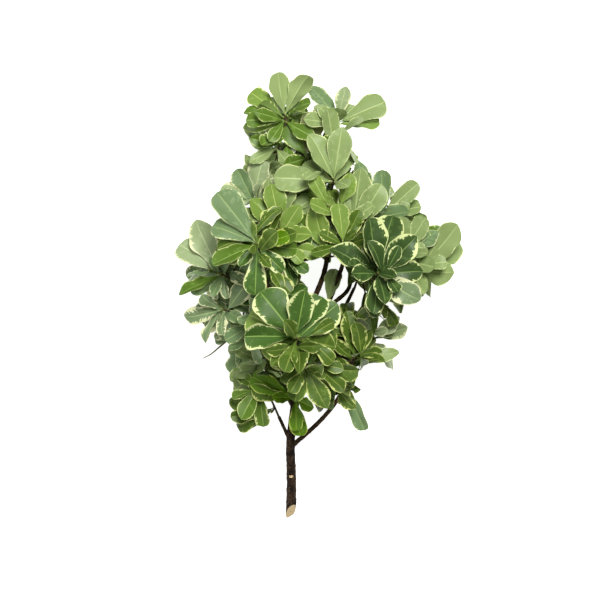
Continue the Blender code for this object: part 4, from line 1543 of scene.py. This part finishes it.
@dataclass
class BladeShape:
    """Meshes leaves: strips that follow the side veins, and lines from midrib to margin."""

    strips: int
    lines: tuple[float, ...]
    under_lines: tuple[int, ...]
    stalk_share: float = 0.06
    plump: float = 1.07
    vein_lead: float = 0.13
    vein_bow: float = 1.2
    thickness: float = 0.34
    stalk_radius: float = 0.72
    stalk_reach: float = 0.14
    groove: float = 0.28
    ripple: float = 0.15
    rib_depth: float = 0.5
    curl_start: float = 0.72
    mottled: float = 0.12
    cream_start: float = 0.2
    least_height: float = 0.15

    def __post_init__(self) -> None:
        """Work out the faces, which all leaves share."""
        self.across = np.array([-u for u in self.lines[:0:-1]] + list(self.lines))
        self.rib = len(self.lines) - 1
        columns, rows = len(self.across), self.strips
        self.picked = [self.rib - i for i in self.under_lines[::-1]] + [self.rib] \
            + [self.rib + i for i in self.under_lines]
        self.along = (np.arange(rows) / rows) ** 0.94
        top = np.arange(rows * columns).reshape(rows, columns)
        self.tip = rows * columns
        under = self.tip + 1 + np.arange(rows * len(self.picked)).reshape(rows, -1)
        under = np.column_stack((top[:, 0], under, top[:, -1]))
        self.faces = [quads(top), self._fan(top[-1]), quads(under)[:, ::-1],
                      self._fan(under[-1])[:, ::-1],
                      np.concatenate((top[0][::-1], under[0][1:-1]))[None, :]]
        edges = np.abs(self.across)
        low_edges = np.abs(np.concatenate(([1.0], self.across[self.picked], [1.0])))
        self.face_across = (edges[:-1] + edges[1:]) / 2
        self.low_across = (low_edges[:-1] + low_edges[1:]) / 2
        self.face_along = np.append((self.along[:-1] + self.along[1:]) / 2,
                                    (self.along[-1] + 1) / 2)

    def _fan(self, row: Array) -> Array:
        """Give the triangles from the last row to the tip."""
        return np.column_stack((row[:-1], row[1:], np.full(len(row) - 1, self.tip)))

    def points(self, leaf: Leaf, habit: Habit) -> Array:
        """Give the places of a leaf's corners.

        Args:
            leaf: The leaf.
            habit: How it differs from others.

        Returns:
            One row of three for each corner, in millimetres.
        """
        half, length = leaf.width / 2 * self.plump, leaf.length
        rib = self.along[:, None]
        margin = rib + self.vein_lead * np.sin(np.pi * rib) ** self.vein_bow
        u = np.abs(self.across)[None, :]
        at = rib + (margin - rib) * u ** self.vein_bow
        blade = np.clip((margin - self.stalk_share) / (1 - self.stalk_share), 0, 1)
        outline = habit.outline(blade, np.sign(self.across)[None, :]) * half
        width = np.maximum(outline, self.stalk_radius * (1 - 0.3 * rib))
        x = self.across[None, :] * width * cos(habit.slope)
        z = self._height(leaf, habit, x, at, u)
        rows = np.arange(self.strips)[:, None]
        z += self.ripple * (-1.0) ** rows * u * (1 - u) * 4 * np.sin(np.pi * rib)
        z[:, self.rib] -= self.groove * (1 - self.along) * (self.along > self.stalk_share)
        thick = self.thickness * (1 - 0.5 * u[:, self.picked] ** 2)
        stalk = 0.5 * self.stalk_radius * np.clip(1 - rib / self.stalk_reach, 0, 1)
        low = z[:, self.picked] - thick - stalk
        low[:, len(self.under_lines)] -= self.rib_depth * (1 - self.along) + 0.1
        tip = self._height(leaf, habit, np.zeros((1, 1)), np.ones((1, 1)), np.ones((1, 1)))
        flat = np.column_stack((
            np.concatenate((x.ravel(), [0.0], x[:, self.picked].ravel())),
            np.concatenate((at.ravel(), [1.0], at[:, self.picked].ravel())) * length,
            np.concatenate((z.ravel(), tip[0], low.ravel()))))
        return self._placed(leaf, habit, flat)

    def _height(self, leaf: Leaf, habit: Habit, x: Array, at: Array,
                u: Array) -> Array:
        """Give the height of the fold, bow, cup, curled tip and waved margin.

        Args:
            leaf: The leaf.
            habit: How it differs from others.
            x: How far each place lies across from the midrib.
            at: Its share of the length.
            u: Its share of the way to the margin.

        Returns:
            The heights.
        """
        bow = leaf.bend * leaf.length * at * at
        tip = habit.curl * leaf.length * np.clip(at - self.curl_start, 0, 1) ** 2
        swell = np.sin(np.pi * np.clip(at, 0, 1)) * u ** 2
        wave = habit.wave * leaf.length * np.sin(
            2 * np.pi * habit.turns * at + habit.phase + habit.lag * np.sign(x))
        return (tan(habit.slope) * np.abs(x) - bow - tip
                + (habit.cup * leaf.width / 2 + wave) * swell)

    def _placed(self, leaf: Leaf, habit: Habit, flat: Array) -> Array:
        """Twist a leaf about its midrib, let it sway, and carry it to its place on the branch.

        Args:
            leaf: The leaf.
            habit: How it differs from others.
            flat: Its corners' places in its own frame.

        Returns:
            The places, with none under the floor.
        """
        x, y, z = flat.T
        share = y / leaf.length
        angle = np.radians(habit.twist) * share
        turned = np.column_stack((
            x * np.cos(angle) - z * np.sin(angle) + habit.sway * leaf.length * share ** 2, y,
            x * np.sin(angle) + z * np.cos(angle)))
        side = leaf.along.cross(leaf.face).normalized()
        placed = turned @ np.array((side, leaf.along, leaf.face)) + np.array(leaf.root)
        placed[:, 2] = np.maximum(placed[:, 2], self.least_height)
        return placed

    def zones(self, leaf: Leaf, habit: Habit, draw: np.random.Generator) -> Array:
        """Give each face its zone, in the order of the faces.

        Args:
            leaf: The leaf.
            habit: How it differs from others.
            draw: The leaf's own random draw.

        Returns:
            The zones' numbers.
        """
        rows = self.strips
        most = leaf.spray.value.cream * habit.cream
        creams = [self._cream(draw, most), self._cream(draw, most)]
        upper = np.full((rows, len(self.face_across)), Zone.BLADE)
        cloud = draw.uniform(size=(rows // 2 + 1, upper.shape[1] // 2 + 1))
        cloud = cloud.repeat(2, 0).repeat(2, 1)[:rows, :upper.shape[1]]
        cloud = cloud + draw.uniform(-0.1, 0.1, upper.shape)
        upper[cloud < self.mottled] = Zone.MOTTLE
        upper[:, self.rib - 1:self.rib + 1] = Zone.RIB
        middle = len(self.picked) // 2
        lower = np.full((rows, len(self.low_across)), Zone.UNDER)
        lower[:, middle:middle + 2] = Zone.RIB
        for zones, across in ((upper, self.face_across), (lower, self.low_across)):
            half = zones.shape[1] // 2
            for part, cream in ((slice(0, half), creams[0]), (slice(half, None), creams[1])):
                depth = 1 - across[None, part]
                side = zones[:, part]
                if zones is upper:
                    halo = depth < (cream + draw.uniform(0.04, 0.16, rows))[:, None]
                    side[halo & (side == Zone.BLADE)] = Zone.MOTTLE
                side[(depth < cream[:, None]) & (side != Zone.RIB)] = Zone.MARGIN
            zones[self.face_along < self.stalk_share * 1.5, :] = Zone.RIB
        return np.concatenate((upper.ravel(), lower.ravel(), [Zone.UNDER]))

    def _cream(self, draw: np.random.Generator, most: float) -> Array:
        """Give how far the cream reaches in from the margin, with ragged teeth.

        Args:
            draw: The leaf's own random draw.
            most: Its greatest reach.

        Returns:
            The reach at each strip.
        """
        t = self.face_along
        swell = np.sin(np.pi * t * draw.uniform(0.8, 1.5) + draw.uniform(-1.2, 0.5))
        broad = 0.14 + 0.86 * np.clip(swell, 0, 1) + 0.25 * (t > 0.85)
        teeth = draw.uniform(0.4, 1.4, len(t))
        runs = np.interp(t, np.linspace(0, 1, 7), draw.uniform(size=7))
        line = np.where(runs < 0.14 + 2 * most, 0.06, 0.0)
        return np.maximum(most * broad * teeth, line) * (t > self.cream_start)


@dataclass
class Foliage:
    """The leaves of each mass, one mesh a mass."""

    crown: Crown
    sharp: float = 100.0

    SHAPES = {
        Grade.FINE: BladeShape(30, (0.0, 0.045, 0.25, 0.45, 0.6, 0.73, 0.84, 0.93, 1.0),
                               (1, 4, 7)),
        Grade.PLAIN: BladeShape(16, (0.0, 0.06, 0.42, 0.72, 0.9, 1.0), (1, 3)),
        Grade.SMALL: BladeShape(10, (0.0, 0.09, 0.5, 0.8, 1.0), (1, 3)),
    }

    def finish(self, spray: Spray, zone: Zone) -> Material:
        """Give the material of a spray's zone, made once."""
        name = f"leaf_{spray.name}_{zone.name}".lower()
        return bpy.data.materials.get(name) or LeafFinish(name, spray, zone).material()

    def build(self) -> None:
        """Build every mass's leaves, each leaf by a draw of its own, and dress them."""
        for number, mass in enumerate(MASSES):
            parts = MeshParts()
            slots: dict[tuple[Spray, Zone], int] = {}
            for place, leaf in enumerate(self.crown.leaves[mass.name]):
                draw = np.random.default_rng(number * 1000 + place)
                habit = Habit.drawn(draw, leaf.spray.value.crinkle)
                shape = self.SHAPES[leaf.grade]
                zones = shape.zones(leaf, habit, draw)
                looks = np.zeros(len(zones), np.int32)
                for zone in Zone:
                    here = zones == zone
                    if here.any():
                        looks[here] = slots.setdefault((leaf.spray, zone), len(slots))
                parts.add(shape.points(leaf, habit), shape.faces, looks)
            name = mass.name + "_dressed"
            mesh = parts.mesh(name, self.sharp, [self.finish(*slot) for slot in slots])
            add_piece(name, mesh, (mass.name,))


@dataclass
class Tube:
    """A round limb swept along a path, with relief."""

    path: list[Vector]
    radii: list[float]
    sides: int
    step: float
    relief: float
    flare: float = 0.0
    joints: float = 14.0
    seed: float = 0.0
    look: int = 0
    smoothing: int = 6
    node_swell: float = 0.07
    node_length: float = 1.5
    flare_reach: float = 1.6

    def __post_init__(self) -> None:
        """Smooth the path and space its points evenly, each with its radius."""
        smooth = smooth_path(self.path, self.smoothing)
        widths = np.interp(np.linspace(0, 1, len(smooth)), np.linspace(0, 1, len(self.radii)),
                           self.radii)
        reach = [0.0]
        for a, b in zip(smooth, smooth[1:]):
            reach.append(reach[-1] + (b - a).length)
        self.reach = np.linspace(0, reach[-1], max(3, int(reach[-1] / self.step)) + 1)
        flat = np.array([tuple(point) for point in smooth])
        places = np.column_stack([np.interp(self.reach, reach, flat[:, i]) for i in range(3)])
        self.points = [Vector(place) for place in places]
        self.widths = list(np.interp(self.reach, reach, widths))

    def _swell(self, distance: float, radius: float) -> float:
        """Find how far the limb swells at a joint or flares at its foot.

        Args:
            distance: How far along the limb.
            radius: Its plain radius there.

        Returns:
            What the radius is multiplied by.
        """
        nearest = (distance + self.seed * 5) % self.joints - self.joints / 2
        node = self.node_swell * exp(-(nearest / self.node_length) ** 2)
        return 1 + node + self.flare * exp(-distance / (radius * self.flare_reach))

    def add_to(self, parts: MeshParts) -> None:
        """Add the limb to a mesh.

        Args:
            parts: The mesh's parts.
        """
        across = (self.points[1] - self.points[0]).orthogonal().normalized()
        rows, grain = [], []
        for i, (point, radius) in enumerate(zip(self.points, self.widths)):
            way = way_at(self.points, i)
            across = square_to(way, across).normalized()
            other = way.cross(across)
            plain = radius * self._swell(self.reach[i], radius)
            for side in range(self.sides):
                turn = 2 * pi * side / self.sides
                spot = Vector((cos(turn) * radius * 0.5, sin(turn) * radius * 0.5,
                               self.reach[i] * 0.11 + self.seed * 7))
                rough = noise.noise(spot) * 0.65 + noise.noise(spot * 2.7) * 0.35
                out = swung(across, other, turn)
                rows.append(tuple(point + out * (plain + self.relief * rough)))
                grain.append((cos(turn) * radius, sin(turn) * radius,
                              self.reach[i] + self.seed * 40))
        skin = np.array(ring_faces(len(self.points), self.sides))
        foot = np.arange(self.sides)
        ends = np.array((foot[::-1], foot + len(rows) - self.sides))
        looks = np.full(len(skin) + 2, self.look)
        parts.add(np.array(rows), [skin, ends], looks, np.array(grain))


def rooted(path: list[Vector], radii: list[float]) -> Rod:
    """Carry a limb's foot back into its parent's tip."""
    foot = path[0] - (path[1] - path[0]).normalized() * ROOT_LENGTH
    return [foot] + path, [radii[0]] + radii


@dataclass(frozen=True)
class Stub:
    """A knob or scar on the main stem: place, direction, radius, height and length's share."""

    at: float
    bearing: float
    rise: float
    radius: float
    height: float
    long: float = 1.3
    pale: bool = False


@dataclass
class Bark:
    """The main stem with its slanting cut and its stubs, and the boughs."""

    crown: Crown
    stem_girth: float = 1.12
    bough_girth: float = 1.14
    bough_flare: float = 0.5
    stem_sharp: float = 50.0
    bough_sharp: float = 70.0
    stub_sides: int = 14
    stub_tilt: float = 0.7
    stubs: tuple[Stub, ...] = (
        Stub(0.196, 100, 80, 4.2, 0.6, 0.65, True), Stub(0.088, -10, 20, 2.6, 1.3),
        Stub(0.135, 190, 15, 2.4, 0.8), Stub(0.205, 172, 10, 2.2, 0.9),
        Stub(0.24, 5, 25, 2.4, 0.8), Stub(0.3, 178, 15, 2.6, 0.9), Stub(0.16, 15, 10, 2.0, 0.6))

    def build(self) -> None:
        """Build the stem and the boughs."""
        self.build_stem()
        self.build_boughs()

    def build_stem(self) -> None:
        """Build the main stem, slice its foot off on the slant, and set its stubs."""
        path, radii = self.crown.limbs["main_stem"]
        centre = tuple((a + b) * MM for a, b in zip(FOOT_CUT_PLACE, FRAME_SHIFT))
        bark = BarkFinish("old_bark", (10, 6, 3), (66, 47, 31), (116, 98, 76), 0.7, 0.9)
        finishes = [bark.material(), CutWoodFinish("cut_wood", centre).material()]
        parts = MeshParts()
        stout = [radius * self.stem_girth for radius in radii]
        Tube(path, stout, sides=28, step=1.1, relief=0.75, joints=17, seed=0.4).add_to(parts)
        mesh = parts.mesh("main_stem_bark", self.stem_sharp, finishes)
        self.cut_foot(mesh)
        work = bmesh.new()
        work.from_mesh(mesh)
        for stub in self.stubs:
            self.add_stub(work, stub)
        work.to_mesh(mesh)
        work.free()
        add_piece("main_stem_bark", smoothed(mesh, self.stem_sharp), ("main_stem",))

    @staticmethod
    def cut_foot(mesh: Mesh) -> None:
        """Slice the stem's foot off and close it with a face of pale wood.

        Args:
            mesh: The stem's mesh.
        """
        work = bmesh.new()
        work.from_mesh(mesh)
        place = (Vector(FOOT_CUT_PLACE) + Vector(FRAME_SHIFT)) * MM
        cut = bmesh.ops.bisect_plane(
            work, geom=work.verts[:] + work.edges[:] + work.faces[:], dist=1e-8,
            plane_co=place, plane_no=Vector(FOOT_CUT_NORMAL), clear_outer=True)
        rim = [item for item in cut["geom_cut"] if isinstance(item, bmesh.types.BMEdge)]
        for face in bmesh.ops.contextual_create(work, geom=rim)["faces"]:
            face.material_index = 1
        bmesh.ops.recalc_face_normals(work, faces=work.faces)
        work.to_mesh(mesh)
        work.free()

    def add_stub(self, work: bmesh.types.BMesh, stub: Stub) -> None:
        """Set one stub on the stem: a short flared collar with a cut face.

        Args:
            work: The stem's mesh at work.
            stub: The stub.
        """
        path, radii = self.crown.limbs["main_stem"]
        start, way = point_on(path, stub.at)
        out = unit(stub.bearing, stub.rise)
        out = (out - way * out.dot(way) * self.stub_tilt).normalized()
        across = way.cross(out).normalized()
        other = out.cross(across) * stub.long
        depth = radii[0] + (radii[-1] - radii[0]) * stub.at
        profile = ((depth - 1.6, 1.5), (depth - 0.1, 1.25), (depth + stub.height * 0.6, 1.0),
                   (depth + stub.height, 0.8), (depth + stub.height, 0.7))
        corners = []
        for (level, share), side in product(profile, range(self.stub_sides)):
            turn = 2 * pi * side / self.stub_sides
            offset = swung(across, other, turn) * stub.radius * share
            place = (start + out * level + offset + Vector(FRAME_SHIFT)) * MM
            corners.append(work.verts.new(place))
        for face in ring_faces(len(profile), self.stub_sides):
            work.faces.new([corners[i] for i in face])
        work.faces.new(corners[-self.stub_sides:]).material_index = int(stub.pale)
        work.faces.new(corners[:self.stub_sides][::-1])

    def build_boughs(self) -> None:
        """Build all boughs as one mesh that grows on from the stem."""
        parts, names = MeshParts(), []
        for number, limb in enumerate(LIMBS):
            if not limb.parent:
                continue
            path, radii = self.crown.limbs[limb.name]
            if limb.at == 1:
                path, radii = rooted(path, radii)
            stout = [radius * self.bough_girth for radius in radii]
            Tube(path, stout, sides=16, step=1.5, relief=0.38, joints=13, seed=number * 1.7,
                 flare=self.bough_flare if limb.at < 1 else 0.0).add_to(parts)
            names.append(limb.name)
        bark = BarkFinish("bough_bark", (30, 21, 12), (88, 68, 44), (124, 104, 72), 0.6, 0.6)
        mesh = parts.mesh("bough_bark", self.bough_sharp, [bark.material()])
        add_piece("bough_bark", mesh, names)


@dataclass
class Twigs:
    """The leafy twigs of all masses, thinner and greener than the boughs."""

    crown: Crown
    twig_girth: float = 0.86
    side_twig_girth: float = 0.78
    sharp: float = 70.0

    def build(self) -> None:
        """Build all twigs as one mesh, the side twigs in their green finish."""
        old = BarkFinish("twig_bark", (52, 38, 28), (92, 72, 50), (116, 102, 70), 0.4, 0.4)
        green = BarkFinish("green_twig_bark", (84, 90, 44), (118, 122, 64), (146, 146, 92), 0.3,
                           0.25)
        parts = MeshParts()
        number = 0
        for mass in MASSES:
            for place, (path, radii) in enumerate(self.crown.twigs[mass.name]):
                number += 1
                side = place >= len(mass.shoots)
                if place == 0 and mass.at == 1:
                    path, radii = rooted(path, radii)
                girth = self.side_twig_girth if side else self.twig_girth
                thin = [radii[0]] + [radius * girth for radius in radii[1:]]
                Tube(path, thin, sides=8, step=2.4, relief=0.12, flare=0.2, joints=9,
                     seed=number * 0.9, look=int(side)).add_to(parts)
        mesh = parts.mesh("leafy_twigs", self.sharp, [old.material(), green.material()])
        add_piece("leafy_twigs", mesh)


class NodeShape:
    """A Geometry Nodes tree with named inputs, run once on a mesh and made plain."""

    def __init__(self, name: str, inputs: dict[str, object]) -> None:
        """Make the tree with its geometry in and out and its named inputs.

        Args:
            name: The tree's name.
            inputs: The value of each input, a whole number or a length.
        """
        self.tree = bpy.data.node_groups.new(name, "GeometryNodeTree")
        self.bench = Bench(self.tree)
        self.values = {}
        for way in ("INPUT", "OUTPUT"):
            self.tree.interface.new_socket("Geometry", in_out=way,
                                           socket_type="NodeSocketGeometry")
        for key, value in inputs.items():
            kind = "NodeSocketInt" if isinstance(value, int) else "NodeSocketFloat"
            socket = self.tree.interface.new_socket(key, in_out="INPUT", socket_type=kind)
            self.values[socket.identifier] = value

    def copies(self, points: object, shape: object, turn: object,
               size: object = (1.0, 1.0, 1.0)) -> NodeSocket:
        """Set real copies of a shape on points, each at its turn and size."""
        placed = self.bench.node("GeometryNodeInstanceOnPoints", {}, {
            "Points": points, "Instance": shape, "Rotation": turn, "Scale": size}).outputs[0]
        return self.bench.node("GeometryNodeRealizeInstances", {}, {0: placed}).outputs[0]

    def run(self, result: object, material: Material, mesh: Mesh) -> Mesh:
        """End the tree with a result in its material, and run it.

        Args:
            result: The tree's last shape.
            material: Its material.
            mesh: The mesh that the tree starts from.

        Returns:
            The result as a plain smooth mesh.
        """
        dressed = self.bench.node("GeometryNodeSetMaterial", {}, {
            "Geometry": result, "Material": material})
        self.bench.node("NodeGroupOutput", {}, {0: dressed.outputs[0]})
        holder = link(self.tree.name, mesh)
        modifier = holder.modifiers.new(self.tree.name, "NODES")
        modifier.node_group = self.tree
        for identifier, value in self.values.items():
            modifier[identifier] = value
        bpy.context.view_layer.update()
        depsgraph = bpy.context.evaluated_depsgraph_get()
        made = bpy.data.meshes.new_from_object(holder.evaluated_get(depsgraph))
        holder.modifiers.remove(modifier)
        bpy.data.objects.remove(holder)
        made.shade_smooth()
        return made


@dataclass
class Buds:
    """The scaly bud at the middle of each whorl: scales set by the golden turn."""

    crown: Crown
    scales: int = 9
    length: float = 3.4
    radius: float = 1.15
    scale_radius: float = 0.8
    scale_stretch: Triple = (0.55, 1.0, 1.9)
    closing: float = 0.6
    lean: float = 0.35
    depth: float = 0.6
    sizes: Span = (0.75, 1.25)
    seed: int = 5

    def build(self) -> None:
        """Build all buds as one mesh: scales in a spiral, and a bud on each shoot's tip."""
        shape = NodeShape("bud_spiral", {"Scales": self.scales, "Bud length": self.length * MM,
                                         "Bud radius": self.radius * MM})
        bench = shape.bench
        given = bench.node("NodeGroupInput").outputs
        index = bench.level("GeometryNodeInputIndex")
        share = index / given["Scales"]
        turn = index * radians(GOLDEN_TURN)
        out = (1 - share) ** self.closing * Level(bench, given["Bud radius"])
        x = bench.level("ShaderNodeMath", {"operation": "COSINE"}, {0: turn}) * out
        y = bench.level("ShaderNodeMath", {"operation": "SINE"}, {0: turn}) * out
        place = bench.node("ShaderNodeCombineXYZ", {}, {
            0: x, 1: y, 2: share * Level(bench, given["Bud length"])})
        points = bench.node("GeometryNodePoints", {}, {
            "Count": given["Scales"], "Position": place.outputs[0]})
        scale = bench.node("GeometryNodeMeshUVSphere", {}, {
            "Segments": 7, "Rings": 5, "Radius": self.scale_radius * MM})
        long_scale = bench.node("GeometryNodeTransform", {}, {
            "Geometry": scale.outputs["Mesh"], "Scale": self.scale_stretch})
        lean = bench.node("ShaderNodeCombineXYZ", {}, {1: self.lean * (1 - share), 2: turn})
        bud = shape.copies(points.outputs[0], long_scale.outputs[0], lean.outputs[0])
        aim, size = (bench.node("GeometryNodeInputNamedAttribute", {"data_type": kind},
                                {"Name": name}).outputs[0]
                     for name, kind in (("aim", "FLOAT_VECTOR"), ("size", "FLOAT")))
        facing = bench.node("FunctionNodeAlignRotationToVector", {"axis": "Z"}, {"Vector": aim})
        buds = shape.copies(given["Geometry"], bud, facing.outputs[0], size)
        material = SpeckFinish("bud_scales", (150, 168, 84), (104, 92, 52)).material()
        add_piece("shoot_buds", shape.run(buds, material, self.places()))

    def places(self) -> Mesh:
        """Lay out where the buds sit.

        Returns:
            A mesh of the shoots' tips, with each one's direction and size.
        """
        tips, shift = self.crown.tips, Vector(FRAME_SHIFT)
        mesh = bpy.data.meshes.new("bud_places")
        mesh.from_pydata([(tip - way * self.depth + shift) * MM for tip, way in tips], [], [])
        aim = mesh.attributes.new("aim", "FLOAT_VECTOR", "POINT")
        set_all(aim.data, "vector", [tuple(way) for _, way in tips])
        size = mesh.attributes.new("size", "FLOAT", "POINT")
        draw = np.random.default_rng(self.seed)
        set_all(size.data, "value", draw.uniform(*self.sizes, len(tips)))
        return mesh


@dataclass(frozen=True)
class Scatter:
    """Spots on one piece: how many a square metre, half a spot's length, and the seed."""

    piece: str
    density: float
    radius: float
    seed: int


@dataclass(frozen=True)
class CorkSpots:
    """Raised corky spots on the bark of the stem and the boughs."""

    finish: SpeckFinish = SpeckFinish("cork_spots", (150, 134, 110), (84, 70, 56))
    scatters: tuple[Scatter, ...] = (Scatter("main_stem_bark", 9000.0, 0.62, 3),
                                     Scatter("bough_bark", 8000.0, 0.42, 8))
    flattened: Triple = (0.6, 1.0, 0.42)
    sizes: Span = (0.6, 1.3)

    def build(self) -> None:
        """Scatter spots over the stem and over the boughs."""
        material = self.finish.material()
        for scatter in self.scatters:
            add_piece(scatter.piece + "_spots", self.spots(scatter, material))

    def spots(self, scatter: Scatter, material: Material) -> Mesh:
        """Scatter spots over one piece.

        Args:
            scatter: Which piece, and how.
            material: The spots' material.

        Returns:
            The spots as one mesh.
        """
        shape = NodeShape("cork_scatter", {
            "Density": scatter.density, "Spot radius": scatter.radius * MM,
            "Seed": scatter.seed})
        bench = shape.bench
        given = bench.node("NodeGroupInput").outputs
        spots = bench.node("GeometryNodeDistributePointsOnFaces", {}, {
            "Mesh": given["Geometry"], "Density": given["Density"], "Seed": given["Seed"]})
        ball = bench.node("GeometryNodeMeshIcoSphere", {}, {
            "Radius": given["Spot radius"], "Subdivisions": 2})
        flat = bench.node("GeometryNodeTransform", {}, {
            "Geometry": ball.outputs[0], "Scale": self.flattened})
        size = bench.level("FunctionNodeRandomValue", {"data_type": "FLOAT"}, {
            2: self.sizes[0], 3: self.sizes[1], "Seed": given["Seed"]}, 1)
        placed = shape.copies(spots.outputs["Points"], flat.outputs[0],
                              spots.outputs["Rotation"], size)
        return shape.run(placed, material, bpy.data.objects[scatter.piece].data.copy())


@dataclass(frozen=True)
class Studio:
    """The pale floor, the soft lights and the camera straight above."""

    camera_place: Triple = (-28.14, -8.04, 2600.0)
    frame_width: float = 804.0
    focus_height: float = 100.0
    floor_reach: float = 12.0
    sky_strength: float = 0.2
    lights: tuple = (("key_light", (0.35, 0.95, 2.5), 0.8, 80.0),
                     ("fill_light", (-1.5, -0.9, 1.8), 1.5, 16.0))

    def build(self) -> None:
        """Set floor, sky, lights and camera."""
        self.build_floor()
        self.build_sky()
        for name, place, size, power in self.lights:
            self.add_light(name, place, size, power)
        self.build_camera()

    def build_floor(self) -> None:
        """Lay the floor, which isn't part of the branch."""
        mesh = bpy.data.meshes.new("floor")
        far = self.floor_reach
        mesh.from_pydata([(-far, -far, 0), (far, -far, 0), (far, far, 0), (-far, far, 0)], [],
                         [(0, 1, 2, 3)])
        mesh.materials.append(FloorFinish("pale_floor").material())
        link("floor", mesh)

    def build_sky(self) -> None:
        """Fill the room with even white light."""
        world = bpy.data.worlds.new("even_sky")
        world.use_nodes = True
        back = world.node_tree.nodes["Background"]
        back.inputs["Color"].default_value = (1.0, 1.0, 1.0, 1.0)
        back.inputs["Strength"].default_value = self.sky_strength
        bpy.context.scene.world = world
        bpy.context.scene.view_settings.view_transform = "Standard"

    @staticmethod
    def add_light(name: str, place: Triple, size: float, power: float) -> None:
        """Hang a square soft light that looks at the branch.

        Args:
            name: Its name.
            place: Its place, in metres.
            size: Its side, in metres.
            power: Its power, in watts.
        """
        light = bpy.data.lights.new(name, "AREA")
        light.size = size
        light.energy = power
        lamp = link(name, light)
        lamp.location = place
        lamp.rotation_euler = Vector(place).to_track_quat("Z", "Y").to_euler()

    def build_camera(self) -> None:
        """Hang the camera above the crown's middle, looking straight down."""
        camera = bpy.data.cameras.new("camera")
        camera.sensor_width = 36.0
        distance = self.camera_place[2] - self.focus_height
        camera.angle = 2 * atan(0.5 * self.frame_width / distance)
        holder = link("camera", camera)
        holder.location = (Vector(self.camera_place) + Vector(FRAME_SHIFT)) * MM
        bpy.context.scene.camera = holder


def main() -> None:
    """Build the studio and every piece of the branch."""
    logging.basicConfig(level=logging.INFO, format="%(message)s")
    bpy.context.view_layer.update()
    crown = Crown()
    LOG.info("%d leaves", sum(len(leaves) for leaves in crown.leaves.values()))
    for part in (Studio(), Bark(crown), Twigs(crown), Foliage(crown), Buds(crown),
                 CorkSpots()):
        part.build()


if __name__ == "__main__":
    main()
